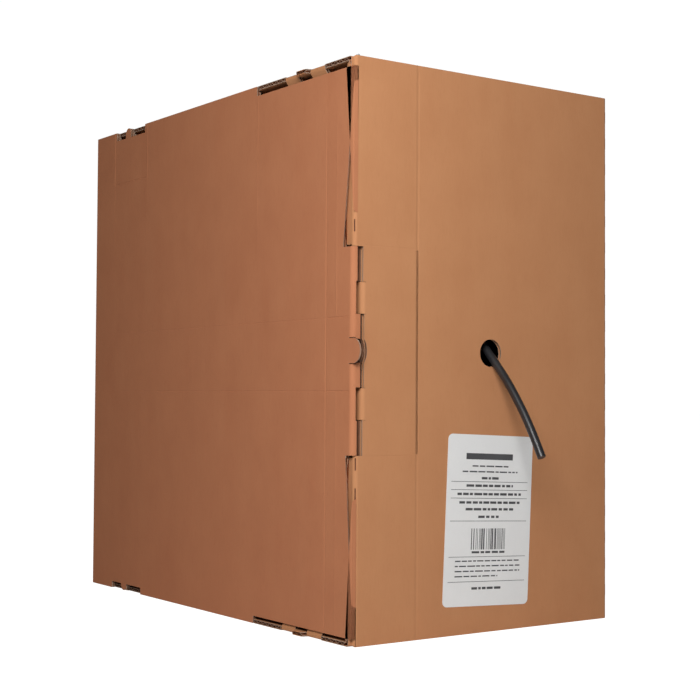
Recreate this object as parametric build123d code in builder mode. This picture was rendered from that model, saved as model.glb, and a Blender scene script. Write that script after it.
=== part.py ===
from build123d import *
import os
from math import acos, atan2, cos, hypot, pi, radians, sin, sqrt, tan

# Frame: origin at the bottom centre of the carton, Z up. The cable comes out of the
# front panel (-Y). The lid is the large left side (-X), hinged at its back edge.
# All sizes are millimetres.

# ---- Carton -------------------------------------------------------------------------
WIDTH = 240.0            # outside, along X
DEPTH = 402.0            # outside, along Y
HEIGHT = 400.0           # outside, along Z
BOARD = 3.0              # thickness of the corrugated board
SLIP = 0.3               # gap between two boards that slide past each other
HINGE_GAP = 0.4          # opening at the mitre of a crease that moves

# ---- Lid, its front lock and the pull tongue ------------------------------------------
LID_EDGE_TOP = 9.8       # setback of the lid's free edge from the front face, at the top
LID_EDGE_BOTTOM = 5.8    # and at the bottom
LOCK_DROP = 1.0          # middle of the front lock, below the carton's mid height
LOCK_SPANS = (24.0, 22.0, 50.0, 22.0, 24.0)   # tab, finger, tab, finger, tab, going up
LOCK_SIDE_GAP = 0.5      # between a tab and the finger above or below it
FINGER_FLAT = 0.4        # from a finger's curl to the cut edge beside the tabs
TAB_REACH = 54.0         # how far a tab reaches in behind the front panel
TAB_BEND = 3.4           # outer radius of the tab's crease
TAB_CORNER = 9.0         # rounded corners at the tabs' tips
TAB_ROOT = 5.0           # where a tab starts, behind the front face
TAB_FLAT = 0.6           # flat run after the tab's crease, and its inner corner's setback
TAB_DIVE = 1.3           # from the slot's cut edge to where the tab turns in
TAB_EASE = 1.0           # the same turn's setback on the tab's inner side
TAB_SWING = 0.2          # clearance of the swinging tab from the front panel's inner face
FINGER_BEND = 5.0        # outer radius of a finger's curl
FINGER_REACH = 18.0      # depth of a finger behind the front face
FINGER_COVER = 1.7       # setback of the lid's edge from the front face beside a finger
PULL_RADIUS = 8.5        # half-round pull tongue in the lid's own plane
PULL_STAND = 0.5         # its centre, ahead of the front face
PULL_CUT = 0.8           # the tongue's cut line in the middle tab

# ---- Side flap of the front panel, folded in behind the lid ----------------------------
SIDE_FLAP_DEPTH = 60.0   # widest
SIDE_STRIP = 9.6         # width of the strip beside the lid's free edge
SIDE_CHAMFER = 8.0       # height of its slanted corner
SIDE_STEP = 52.0         # the strip's length from the top or bottom
SIDE_SLANT = 38.0        # height of the slant down to the full depth
WINDOW_DEPTH = 19.2      # opening in the flap that the lock goes through
WINDOW_POCKET = 31.5     # deeper pocket behind the middle tab
WINDOW_SPARE = 1.5       # above and below the lock

# ---- Top and bottom: panels, tuck flaps and dust flaps ---------------------------------
TUCK_DEPTH = 42.0        # a tuck flap's length below the fold
TUCK_LEAN = 5.2          # degrees that a tuck flap leans in from the lid
FRONT_TUCK = (11.5, 124.0)                  # along Y, from the front face
FRONT_HOLDS = ((35.7, 54.0), (69.5, 86.5))  # where it is joined to its panel
REAR_TUCK = (36.0, 98.0)                    # along Y, from the back face
REAR_HOLDS = ((36.0, 39.0), (57.0, 67.0), (94.5, 98.0))
TUCK_SHOULDER = 8.6      # from the fold down to the tuck flap's shoulders
TUCK_CORNER = 8.0        # rounded corners at its tip
TONGUE = (54.6, 68.9)    # tongue between the front tuck's two holds, from the front face
TONGUE_OUT = 3.0         # how far the tongue stands out past the lid
TONGUE_CORNER = 2.5
DUST_DEPTH = 60.0        # a dust flap's length
DUST_TIP_LEFT = 18.0     # its tip's setback from the lid, and from the right side
DUST_TIP_RIGHT = 9.0
DUST_ROOT_LEFT = 9.5     # the same at the fold
DUST_ROOT_RIGHT = 4.0
LID_NOTCH_FRONT = 125.4  # length of the lid's front notch, from the front face
NOTCH_TOP = 7.3          # depth of the notches at the top
NOTCH_BOTTOM = 5.5       # and at the bottom
LID_NOTCH_REAR = (39.5, 93.5)               # rear notch, from the back face
LID_TONGUE = (57.1, 67.1)                   # the lid's own tongue in the rear notch
LID_TONGUE_RISE = 1.0    # its tip above the notched edge's level at the top

# ---- Label and cable hole --------------------------------------------------------------
HOLE_X = 2.5             # level with the axle
HOLE_RADIUS = 10.0
LABEL_WIDTH = 80.0
LABEL_HEIGHT = 122.0
LABEL_THICK = 0.2
LABEL_CORNER = 4.0
LABEL_X = 1.0
LABEL_Z = 79.8
LABEL_TURN = -2.5        # degrees, clockwise seen from the front

# ---- Reel ------------------------------------------------------------------------------
AXLE_RADIUS = 30.0       # outer radius of the card tube that the reel turns on
AXLE_WALL = 5.0
AXLE_SEAT = 0.3          # gap between the tube and the bores of its boards
AXLE_RUN = 0.1           # running gap between the tube and the reel's bushes
CARRIER = 6.0            # thickness of the two boards that carry the axle
CARRIER_INSET = 8.5      # left carrier's outer face, in from the lid's inner face
CARRIER_NOTCH = 13.0     # its notch at the front, for the lock tabs
CARRIER_SPARE = 4.5      # the notch's length above and below the lock
AXLE_STAND = 1.0         # how far the tube stands out of the left carrier
FLANGE_ROOM = 15.0       # from the flange's rim to the nearest outside face of the carton
FLANGE = 6.0             # plywood
DRUM_RADIUS = 75.0       # outer radius of the core
DRUM_WALL = 5.0
BUSH_RADIUS = 45.0       # the bush's spigot in the flange
BUSH_RIM_RADIUS = 52.0
BUSH_RIM = 8.0           # thickness of its rim outside the flange
BUSH_SPIGOT = 14.0       # length of its spigot, through the flange and into the core
BUSH_RUN = 0.7           # end play between a rim and its carrier
ROD_RADIUS = 3.0
ROD_CIRCLE = 61.0
ROD_COUNT = 3
ROD_START = 90.0         # degrees round the axle to the first rod
WASHER_RADIUS = 9.0
WASHER = 1.6
NUT_FLATS = 10.0
NUT = 5.0
ROD_STAND = 0.4          # rod end beyond its nut
START_HOLE_RADIUS = 5.0  # hole in the left flange for the inner end of the cable
START_HOLE_AT = 86.0     # its distance from the axle
START_HOLE_TURN = 30.0   # degrees round the axle
WOUND_ROOM = 25.5        # from the outermost turns to the flange's rim

# ---- Cable -----------------------------------------------------------------------------
CABLE = 6.0              # diameter
CABLE_CLEAR = 0.3        # between the lead and the winding that it comes off

# ---- Derived places ----------------------------------------------------------------------
LEFT, RIGHT = -WIDTH / 2, WIDTH / 2
FRONT, BACK = -DEPTH / 2, DEPTH / 2
LID_IN = LEFT + BOARD
REEL_Z = HOLE_Z = HEIGHT / 2
LOCK_CENTRE = HEIGHT / 2 - LOCK_DROP
RIGHT_IN = RIGHT - BOARD
FRONT_IN, BACK_IN = FRONT + BOARD, BACK - BOARD
TUCK_X = LID_IN + SLIP             # outer face of every board folded in behind the lid
SLOT_X = TUCK_X + FINGER_BEND + FINGER_FLAT   # cut edge of the front panel
MID_PLANE = Plane.XY.offset(HEIGHT / 2)


def spans_up(start, lengths):
    """Each (low, high) of lengths stacked upwards from start."""
    spans = []
    for length in lengths:
        spans.append((start, start + length))
        start += length
    return spans


LOCK = spans_up(LOCK_CENTRE - sum(LOCK_SPANS) / 2, LOCK_SPANS)
TABS = [(low + LOCK_SIDE_GAP / 2, high - LOCK_SIDE_GAP / 2) for low, high in LOCK[0::2]]
FINGERS = [(low + LOCK_SIDE_GAP / 2, high - LOCK_SIDE_GAP / 2) for low, high in LOCK[1::2]]
LOCK_LOW, LOCK_HIGH = LOCK[0][0], LOCK[-1][1]

# Reel, along X from left to right
CARRIER_LEFT = LID_IN + CARRIER_INSET
CARRIER_RIGHT = RIGHT_IN - SLIP - CARRIER
FLANGE_LEFT = CARRIER_LEFT + CARRIER + BUSH_RUN + BUSH_RIM
FLANGE_RIGHT = CARRIER_RIGHT - BUSH_RUN - BUSH_RIM - FLANGE
DRUM_LEFT = FLANGE_LEFT + FLANGE
DRUM_LENGTH = FLANGE_RIGHT - DRUM_LEFT
AXLE_LEFT = CARRIER_LEFT - AXLE_STAND
AXLE_LENGTH = RIGHT_IN - SLIP - AXLE_LEFT
FLANGE_RADIUS = min(DEPTH, HEIGHT) / 2 - FLANGE_ROOM
WOUND_RADIUS = FLANGE_RADIUS - WOUND_ROOM


def write(body, label):
    """Names one finished piece and writes its STEP file."""
    body.label = label
    export_step(body, f"parts/{label}.step")


# ---- Fixed panels ------------------------------------------------------------------------
def make_back_panel():
    """Wall with a mitred crease at each vertical edge."""
    with BuildPart() as back_panel:
        with BuildSketch(Plane.XY):
            Polygon((LEFT, BACK), (RIGHT, BACK), (RIGHT_IN, BACK_IN), (LID_IN, BACK_IN), align=None)
        extrude(amount=HEIGHT)
    return back_panel.part


def make_right_side_panel():
    """Wall that carries the top and the bottom on its two level creases."""
    with BuildPart() as right_side_panel:
        with BuildSketch(Plane.XY):
            Polygon((RIGHT, FRONT), (RIGHT, BACK), (RIGHT_IN, BACK_IN), (RIGHT_IN, FRONT_IN), align=None)
        extrude(amount=HEIGHT)
        with BuildSketch(Plane.XZ):
            Polygon((RIGHT_IN, 0), (RIGHT, 0), (RIGHT_IN, BOARD), align=None)
            Polygon((RIGHT_IN, HEIGHT), (RIGHT_IN, HEIGHT - BOARD), (RIGHT, HEIGHT), align=None)
        extrude(amount=BACK_IN, both=True, mode=Mode.SUBTRACT)
    return right_side_panel.part


def make_front_panel():
    """Wall with the cable hole, the lock opening and the two curled fingers."""
    with BuildPart() as front_panel:
        with BuildSketch(Plane.XY):
            Polygon(
                (TUCK_X, FRONT), (RIGHT, FRONT), (RIGHT_IN, FRONT_IN), (TUCK_X + BOARD, FRONT_IN), align=None
            )
        extrude(amount=HEIGHT)
        with BuildSketch(Plane.XY.offset(LOCK_LOW)):
            Polygon((LEFT, FRONT), (SLOT_X, FRONT), (SLOT_X, FRONT_IN), (LEFT, FRONT_IN), align=None)
        extrude(amount=LOCK_HIGH - LOCK_LOW, mode=Mode.SUBTRACT)
        with BuildSketch(Plane.XZ.offset(-FRONT_IN)):
            with Locations((HOLE_X, HOLE_Z)):
                Circle(HOLE_RADIUS)
        extrude(amount=BOARD, mode=Mode.SUBTRACT)
        inner_bend = FINGER_BEND - BOARD
        for low, high in FINGERS:
            with BuildSketch(Plane.XY.offset(low)):
                with BuildLine():
                    Line((SLOT_X, FRONT_IN), (SLOT_X, FRONT))
                    Line((SLOT_X, FRONT), (TUCK_X + FINGER_BEND, FRONT))
                    RadiusArc((TUCK_X + FINGER_BEND, FRONT), (TUCK_X, FRONT + FINGER_BEND), FINGER_BEND)
                    Line((TUCK_X, FRONT + FINGER_BEND), (TUCK_X, FRONT + FINGER_REACH))
                    Line((TUCK_X, FRONT + FINGER_REACH), (TUCK_X + BOARD, FRONT + FINGER_REACH))
                    Line((TUCK_X + BOARD, FRONT + FINGER_REACH), (TUCK_X + BOARD, FRONT + FINGER_BEND))
                    RadiusArc(
                        (TUCK_X + BOARD, FRONT + FINGER_BEND), (TUCK_X + FINGER_BEND, FRONT_IN), -inner_bend
                    )
                    Line((TUCK_X + FINGER_BEND, FRONT_IN), (SLOT_X, FRONT_IN))
                make_face()
            extrude(amount=high - low)
    return front_panel.part


def make_front_side_flap():
    """Flap of the front panel behind the lid: a strip at each end, wider between."""
    strip = FRONT + SIDE_STRIP
    full = FRONT + SIDE_FLAP_DEPTH
    with BuildPart() as front_side_flap:
        with BuildSketch(Plane.YZ.offset(TUCK_X)):
            Polygon(
                (FRONT, 0),
                (strip, SIDE_CHAMFER),
                (strip, SIDE_STEP),
                (full, SIDE_STEP + SIDE_SLANT),
                (full, HEIGHT - SIDE_STEP - SIDE_SLANT),
                (strip, HEIGHT - SIDE_STEP),
                (strip, HEIGHT - SIDE_CHAMFER),
                (FRONT, HEIGHT),
                align=None,
            )
        extrude(amount=BOARD)
        low, high = LOCK_LOW - WINDOW_SPARE, LOCK_HIGH + WINDOW_SPARE
        middle_low, middle_high = LOCK[2]
        with BuildSketch(Plane.YZ.offset(TUCK_X)):
            Polygon(
                (FRONT, low),
                (FRONT + WINDOW_DEPTH, low),
                (FRONT + WINDOW_DEPTH, middle_low),
                (FRONT + WINDOW_POCKET, middle_low),
                (FRONT + WINDOW_POCKET, middle_high),
                (FRONT + WINDOW_DEPTH, middle_high),
                (FRONT + WINDOW_DEPTH, high),
                (FRONT, high),
                align=None,
            )
        extrude(amount=BOARD, mode=Mode.SUBTRACT)
        with BuildSketch(Plane.XY):
            Polygon((TUCK_X, FRONT), (TUCK_X + BOARD, FRONT_IN), (TUCK_X + BOARD, FRONT), align=None)
        extrude(amount=HEIGHT, mode=Mode.SUBTRACT)
    return front_side_flap.part


def make_label():
    """Paper label stuck to the front panel, a little crooked."""
    with BuildPart() as label:
        with BuildSketch(Plane.XZ.offset(-FRONT)):
            with Locations((LABEL_X, LABEL_Z)):
                RectangleRounded(LABEL_WIDTH, LABEL_HEIGHT, LABEL_CORNER, rotation=LABEL_TURN)
        extrude(amount=LABEL_THICK)
    return label.part


# ---- Lid -----------------------------------------------------------------------------------
def make_lid_panel():
    """Left side, with its notches, its rear tongues and the half-round pull tongue."""
    notch_y = FRONT + LID_NOTCH_FRONT
    rear_notch = [BACK - setback for setback in LID_NOTCH_REAR]
    rear_tongue = [BACK - setback for setback in LID_TONGUE]
    with BuildPart() as lid_panel:
        with BuildSketch(Plane.YZ.offset(LEFT)) as outline:
            Polygon(
                (BACK - HINGE_GAP, 0),
                (BACK - HINGE_GAP, HEIGHT),
                (notch_y, HEIGHT),
                (notch_y, HEIGHT - NOTCH_TOP),
                (FRONT + LID_EDGE_TOP, HEIGHT - NOTCH_TOP),
                (FRONT + LID_EDGE_BOTTOM, NOTCH_BOTTOM),
                (notch_y, NOTCH_BOTTOM),
                (notch_y, 0),
                align=None,
            )
            for (low, high), edge in zip(LOCK, (TAB_ROOT, FINGER_COVER) * 2 + (TAB_ROOT,)):
                end = FRONT + edge
                root = FRONT + LID_EDGE_TOP + BOARD
                Polygon((root, low), (end, low), (end, high), (root, high), align=None)
            with Locations((FRONT - PULL_STAND, LOCK_CENTRE)):
                Circle(PULL_RADIUS)
            with Locations((FRONT + TAB_ROOT / 2, LOCK_CENTRE)):
                Rectangle(TAB_ROOT + 2 * PULL_STAND, 2 * PULL_RADIUS)
            for edge, depth in ((0, NOTCH_BOTTOM), (HEIGHT, -NOTCH_TOP)):
                Polygon(
                    (rear_notch[0], edge),
                    (rear_notch[0], edge + depth),
                    (rear_notch[1], edge + depth),
                    (rear_notch[1], edge),
                    align=None,
                    mode=Mode.SUBTRACT,
                )
                tip = edge if depth > 0 else edge + LID_TONGUE_RISE
                tongue_radius = (rear_tongue[0] - rear_tongue[1]) / 2
                centre = tip + (tongue_radius if depth > 0 else -tongue_radius)
                with Locations((sum(rear_tongue) / 2, centre)):
                    Circle(tongue_radius)
                Polygon(
                    (rear_tongue[0], centre),
                    (rear_tongue[0], edge + 2 * depth),
                    (rear_tongue[1], edge + 2 * depth),
                    (rear_tongue[1], centre),
                    align=None,
                )
        extrude(amount=BOARD)
        hinge = BACK - HINGE_GAP
        with BuildSketch(Plane.XY):
            Polygon((LEFT, hinge), (LID_IN, hinge), (LID_IN, hinge - BOARD), align=None)
        extrude(amount=HEIGHT, mode=Mode.SUBTRACT)
    return lid_panel.part


def make_lid_lock_tabs():
    """Three tabs round the front corner and in behind the front panel.

    They lean in, so that they swing out with the lid past the front panel's inner face.
    """
    swing = BACK - FRONT_IN - TAB_SWING
    dive_reach = SLOT_X - TAB_DIVE - LEFT
    dive = (LEFT + dive_reach, BACK - sqrt(swing ** 2 - dive_reach ** 2))
    tip = (LEFT + TAB_REACH, BACK - sqrt(swing ** 2 - TAB_REACH ** 2))
    lean = atan2(tip[1] - dive[1], tip[0] - dive[0])
    shift = (-BOARD * sin(lean), BOARD * cos(lean))
    inner_tip = (tip[0] + shift[0], tip[1] + shift[1])
    inner_dive = (dive[0] - TAB_EASE, dive[1] + BOARD)
    inner_corner = (LID_IN, FRONT_IN + TAB_FLAT)
    bend_end = (LEFT + TAB_BEND, FRONT)
    flat_end = (bend_end[0] + TAB_FLAT, FRONT)
    with BuildPart() as lid_lock_tabs:
        for low, high in TABS:
            with BuildSketch(Plane.XY.offset(low)):
                with BuildLine():
                    Line((LEFT, FRONT + TAB_ROOT), (LEFT, FRONT + TAB_BEND))
                    RadiusArc((LEFT, FRONT + TAB_BEND), bend_end, -TAB_BEND)
                    Line(bend_end, flat_end)
                    Line(flat_end, dive)
                    Line(dive, tip)
                    Line(tip, inner_tip)
                    Line(inner_tip, inner_dive)
                    Line(inner_dive, inner_corner)
                    Line(inner_corner, (LID_IN, FRONT + TAB_ROOT))
                    Line((LID_IN, FRONT + TAB_ROOT), (LEFT, FRONT + TAB_ROOT))
                make_face()
            extrude(amount=high - low)
        tips = lid_lock_tabs.edges().filter_by(Axis((0, 0, 0), (shift[0], shift[1], 0)), tolerance=0.5)
        fillet(tips.group_by(Axis.X)[-1], TAB_CORNER)
        with BuildSketch(Plane.YZ.offset(LEFT)):
            with Locations((FRONT - PULL_STAND, LOCK_CENTRE)):
                Circle(PULL_RADIUS + PULL_CUT)
            with Locations((FRONT + TAB_ROOT / 2, LOCK_CENTRE)):
                Rectangle(TAB_ROOT + 2 * PULL_STAND, 2 * (PULL_RADIUS + PULL_CUT))
        extrude(amount=BOARD, mode=Mode.SUBTRACT)
        with BuildSketch(Plane.XZ.offset(-FRONT_IN - BOARD)):
            with Locations((LEFT, LOCK_CENTRE)):
                Circle(PULL_RADIUS + PULL_CUT)
        extrude(amount=2 * BOARD, mode=Mode.SUBTRACT)
    return lid_lock_tabs.part


# ---- Top, and by reflection the bottom -------------------------------------------------------
def leaning_profile(depth):
    """Corners, in X and Z, of a tuck flap's section: fold, tip, inner tip, inner fold."""
    lean = radians(TUCK_LEAN)
    down = (sin(lean), -cos(lean))
    across = (cos(lean), sin(lean))
    fold = (TUCK_X, HEIGHT)
    tip = (fold[0] + depth * down[0], fold[1] + depth * down[1])
    inner_tip = (tip[0] + BOARD * across[0], tip[1] + BOARD * across[1])
    inner_fold_x = TUCK_X + BOARD * tan(radians(45) + lean / 2)
    return fold, tip, inner_tip, (inner_fold_x, HEIGHT - BOARD)


def tuck_places(span, holds, from_front):
    """Span and holds along Y, given from the front face or from the back face."""
    if from_front:
        return [FRONT + s for s in span], [[FRONT + h for h in hold] for hold in holds]
    return [BACK - s for s in reversed(span)], [[BACK - h for h in reversed(hold)] for hold in holds]


def make_top_panel():
    """Panel with mitres where its flaps fold down and a tongue that stands out."""
    hinge = RIGHT - HINGE_GAP
    side = BACK_IN - SLIP
    inner_fold_x = leaning_profile(TUCK_DEPTH)[3][0]
    with BuildPart() as top_panel:
        with BuildSketch(Plane.XZ):
            Polygon(
                (TUCK_X, HEIGHT),
                (hinge, HEIGHT),
                (hinge - BOARD, HEIGHT - BOARD),
                (TUCK_X, HEIGHT - BOARD),
                align=None,
            )
        extrude(amount=side, both=True)
        with BuildSketch(Plane.YZ.offset(LEFT)):
            for sign in (-1, 1):
                Polygon(
                    (sign * side, HEIGHT),
                    (sign * side, HEIGHT - BOARD),
                    (sign * (side - BOARD), HEIGHT - BOARD),
                    align=None,
                )
        extrude(amount=WIDTH, mode=Mode.SUBTRACT)
        for span, holds, from_front in ((FRONT_TUCK, FRONT_HOLDS, True), (REAR_TUCK, REAR_HOLDS, False)):
            for low, high in tuck_places(span, holds, from_front)[1]:
                with BuildSketch(Plane.XZ.offset(-low)):
                    Polygon(
                        (TUCK_X, HEIGHT),
                        (inner_fold_x, HEIGHT - BOARD),
                        (TUCK_X, HEIGHT - BOARD),
                        align=None,
                    )
                extrude(amount=low - high, mode=Mode.SUBTRACT)
        tongue = [FRONT + s for s in TONGUE]
        end = LEFT - TONGUE_OUT
        with BuildSketch(Plane.XY.offset(HEIGHT - BOARD)) as tongue_outline:
            Polygon((TUCK_X, tongue[0]), (TUCK_X, tongue[1]), (end, tongue[1]), (end, tongue[0]), align=None)
            fillet(tongue_outline.vertices().group_by(Axis.X)[0], TONGUE_CORNER)
        extrude(amount=BOARD)
    return top_panel.part


def make_tuck_flap(span, holds, from_front):
    """Flap that leans in behind the lid, joined to the top by its holds only."""
    (start, end), places = tuck_places(span, holds, from_front)
    shoulder = HEIGHT - TUCK_SHOULDER
    with BuildPart() as tuck_flap:
        with BuildSketch(Plane.XZ.offset(-start)):
            Polygon(*leaning_profile(TUCK_DEPTH), align=None)
        extrude(amount=start - end)
        gaps = [start] + [y for hold in sorted(places) for y in hold] + [end]
        for low, high in zip(gaps[0::2], gaps[1::2]):
            if high - low > SLIP:
                with BuildSketch(Plane.YZ.offset(LEFT)):
                    Polygon((low, shoulder), (high, shoulder), (high, HEIGHT), (low, HEIGHT), align=None)
                extrude(amount=WIDTH, mode=Mode.SUBTRACT)
        tips = tuck_flap.faces().sort_by(Axis.Z)[0].edges().filter_by(Axis.Y, reverse=True)
        fillet(tips, TUCK_CORNER)
    return tuck_flap.part


def make_top_front_dust_flap():
    """Tapered flap folded down behind the front panel; its taper clears the side flap."""
    side = FRONT_IN + SLIP
    with BuildPart() as dust_flap:
        with BuildSketch(Plane.XZ.offset(-side)):
            Polygon(
                (LEFT + DUST_ROOT_LEFT, HEIGHT),
                (RIGHT - DUST_ROOT_RIGHT, HEIGHT),
                (RIGHT - DUST_TIP_RIGHT, HEIGHT - DUST_DEPTH),
                (LEFT + DUST_TIP_LEFT, HEIGHT - DUST_DEPTH),
                align=None,
            )
        extrude(amount=-BOARD)
        with BuildSketch(Plane.YZ.offset(LEFT)):
            Polygon((side, HEIGHT), (side + BOARD, HEIGHT), (side + BOARD, HEIGHT - BOARD), align=None)
        extrude(amount=WIDTH, mode=Mode.SUBTRACT)
    return dust_flap.part


def make_mirrored(piece, plane):
    """The same board reflected in plane."""
    with BuildPart() as mirrored:
        mirror(piece, about=plane)
    return mirrored.part


# ---- Carriers and axle -------------------------------------------------------------------------
def make_carrier(left_face, notched):
    """Board that stands between the top and the bottom and holds one end of the axle."""
    half = BACK_IN - SLIP - BOARD - SLIP
    low, high = BOARD + SLIP, HEIGHT - BOARD - SLIP
    with BuildPart() as carrier:
        with BuildSketch(Plane.YZ.offset(left_face)):
            Polygon((-half, low), (half, low), (half, high), (-half, high), align=None)
            with Locations((0, REEL_Z)):
                Circle(AXLE_RADIUS + AXLE_SEAT, mode=Mode.SUBTRACT)
            if notched:
                edge = FRONT + CARRIER_NOTCH
                notch_low, notch_high = LOCK_LOW - CARRIER_SPARE, LOCK_HIGH + CARRIER_SPARE
                Polygon(
                    (-half, notch_low),
                    (edge, notch_low),
                    (edge, notch_high),
                    (-half, notch_high),
                    align=None,
                    mode=Mode.SUBTRACT,
                )
        extrude(amount=CARRIER)
    return carrier.part


def make_axle_tube():
    """Card tube through both carriers."""
    with BuildPart() as axle_tube:
        with BuildSketch(Plane.YZ.offset(AXLE_LEFT)):
            with Locations((0, REEL_Z)):
                Circle(AXLE_RADIUS)
                Circle(AXLE_RADIUS - AXLE_WALL, mode=Mode.SUBTRACT)
        extrude(amount=AXLE_LENGTH)
    return axle_tube.part


# ---- Reel --------------------------------------------------------------------------------------
def rod_places():
    """The rods' places round the axle."""
    return PolarLocations(ROD_CIRCLE, ROD_COUNT, start_angle=ROD_START)


def make_flange(left_face, start_hole):
    """Plywood disc with the bush's bore and the rod holes."""
    with BuildPart() as flange:
        with BuildSketch(Plane.YZ.offset(left_face)):
            with Locations((0, REEL_Z)):
                Circle(FLANGE_RADIUS)
                Circle(BUSH_RADIUS, mode=Mode.SUBTRACT)
                with rod_places():
                    Circle(ROD_RADIUS, mode=Mode.SUBTRACT)
                if start_hole:
                    with PolarLocations(START_HOLE_AT, 1, start_angle=START_HOLE_TURN):
                        Circle(START_HOLE_RADIUS, mode=Mode.SUBTRACT)
        extrude(amount=FLANGE)
    return flange.part


def make_drum_core():
    """Card tube between the flanges."""
    with BuildPart() as drum_core:
        with BuildSketch(Plane.YZ.offset(DRUM_LEFT)):
            with Locations((0, REEL_Z)):
                Circle(DRUM_RADIUS)
                Circle(DRUM_RADIUS - DRUM_WALL, mode=Mode.SUBTRACT)
        extrude(amount=DRUM_LENGTH)
    return drum_core.part


def make_hub_bush(rim_face, inward):
    """Moulded bush: a rim outside the flange and a spigot through it.

    rim_face is the rim's outer face and inward the direction of the spigot along X.
    """
    seat = Plane(origin=(rim_face, 0, REEL_Z), x_dir=(0, 1, 0), z_dir=(inward, 0, 0))
    with BuildPart() as hub_bush:
        with BuildSketch(seat):
            Circle(BUSH_RIM_RADIUS)
            Circle(AXLE_RADIUS + AXLE_RUN, mode=Mode.SUBTRACT)
        extrude(amount=BUSH_RIM)
        with BuildSketch(seat.offset(BUSH_RIM)):
            Circle(BUSH_RADIUS)
            Circle(AXLE_RADIUS + AXLE_RUN, mode=Mode.SUBTRACT)
        extrude(amount=BUSH_SPIGOT)
    return hub_bush.part


def reel_ends():
    """Each flange's outer face: its plane, with the same axes at both ends, and its way out."""
    places = ((FLANGE_LEFT, -1), (FLANGE_RIGHT + FLANGE, 1))
    return [(Plane(origin=(x, 0, REEL_Z), x_dir=(0, 1, 0), z_dir=(1, 0, 0)), way) for x, way in places]


def make_tie_rods():
    """Rods that hold the two flanges against the core."""
    overhang = WASHER + NUT + ROD_STAND
    left_face = reel_ends()[0][0]
    with BuildPart() as tie_rods:
        with BuildSketch(left_face.offset(-overhang)):
            with rod_places():
                Circle(ROD_RADIUS)
        extrude(amount=DRUM_LENGTH + 2 * FLANGE + 2 * overhang)
    return tie_rods.part


def make_tie_washers():
    """A washer under each nut."""
    with BuildPart() as tie_washers:
        for face, way in reel_ends():
            with BuildSketch(face):
                with rod_places():
                    Circle(WASHER_RADIUS)
                    Circle(ROD_RADIUS, mode=Mode.SUBTRACT)
            extrude(amount=way * WASHER)
    return tie_washers.part


def make_tie_nuts():
    """A hexagon nut at each end of each rod."""
    with BuildPart() as tie_nuts:
        for face, way in reel_ends():
            with BuildSketch(face.offset(way * WASHER)):
                with rod_places():
                    RegularPolygon(NUT_FLATS / 2, 6, major_radius=False)
                    Circle(ROD_RADIUS, mode=Mode.SUBTRACT)
            extrude(amount=way * NUT)
    return tie_nuts.part


def make_cable_winding():
    """The wound cable as one ring between the flanges."""
    with BuildPart() as cable_winding:
        with BuildSketch(Plane.YZ.offset(DRUM_LEFT)):
            with Locations((0, REEL_Z)):
                Circle(WOUND_RADIUS)
                Circle(DRUM_RADIUS, mode=Mode.SUBTRACT)
        extrude(amount=DRUM_LENGTH)
    return cable_winding.part


# ---- Lead and free end -----------------------------------------------------------------------------
EXIT_RIGHT = 2.0         # the cable lies to the right of and below the middle of the hole
EXIT_DROP = 4.2
EXIT = (HOLE_X + EXIT_RIGHT, FRONT, HOLE_Z - EXIT_DROP)
FREE_RUN = (             # the free end's points from the exit: right, out and down
    (0.0, 11.6, 11.4),
    (0.1, 25.0, 27.4),
    (0.3, 40.0, 48.4),
    (0.5, 51.4, 69.2),
)
FREE_END = [EXIT] + [(EXIT[0] + right, EXIT[1] - out, EXIT[2] - down) for right, out, down in FREE_RUN]
BEND_INSIDE = 24.0       # from the front face to the point where the lead bends
TRAVERSE_X = 16.0        # where the outermost turn leaves the winding
SAG_SHARE = 0.42         # place of the lead's slight sag between the bend and the winding
SAG = (-1.2, -0.8, 0.5)
BEND_SHARE = 0.45        # share of the shorter run that an arc takes up


def lead_points():
    """Route of the lead from the winding's tangent to the hole, in line with the free end."""
    right, out, down = FREE_RUN[0]
    back = BEND_INSIDE / out
    knee = (EXIT[0] - right * back, EXIT[1] + BEND_INSIDE, EXIT[2] + down * back)
    tangent_radius = WOUND_RADIUS + CABLE_CLEAR + CABLE / 2
    away = hypot(knee[1], knee[2] - REEL_Z)
    contact = atan2(knee[2] - REEL_Z, knee[1]) - acos(tangent_radius / away)
    touch = (TRAVERSE_X, tangent_radius * cos(contact), REEL_Z + tangent_radius * sin(contact))
    sag = tuple(k + SAG_SHARE * (t - k) + drop for k, t, drop in zip(knee, touch, SAG))
    return touch, sag, knee, EXIT


def bend_radii(points):
    """Arc at each inner point: a share of the shorter run over the tangent of half the turn."""
    places = [Vector(*point) for point in points]
    radii = []
    for before, here, after in zip(places, places[1:], places[2:]):
        turn = (here - before).get_angle(after - here)
        shorter = min((here - before).length, (after - here).length)
        radii.append(BEND_SHARE * shorter / tan(radians(turn) / 2))
    return radii


def make_cable(points):
    """Round cable along runs joined by tangent arcs."""
    radii = bend_radii(points)
    print("bend radii", [round(radius, 1) for radius in radii], "of", len(points), "points")
    with BuildPart() as cable:
        with BuildLine() as route:
            FilletPolyline(*points, radius=radii)
        path = route.wire()
        with BuildSketch(Plane(origin=points[0], z_dir=path % 0)):
            Circle(CABLE / 2)
        sweep(path=path)
    tube = path.length * pi * CABLE ** 2 / 4
    print("length", round(path.length, 2), "volume over section times length", cable.part.volume / tube)
    return cable.part


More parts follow.
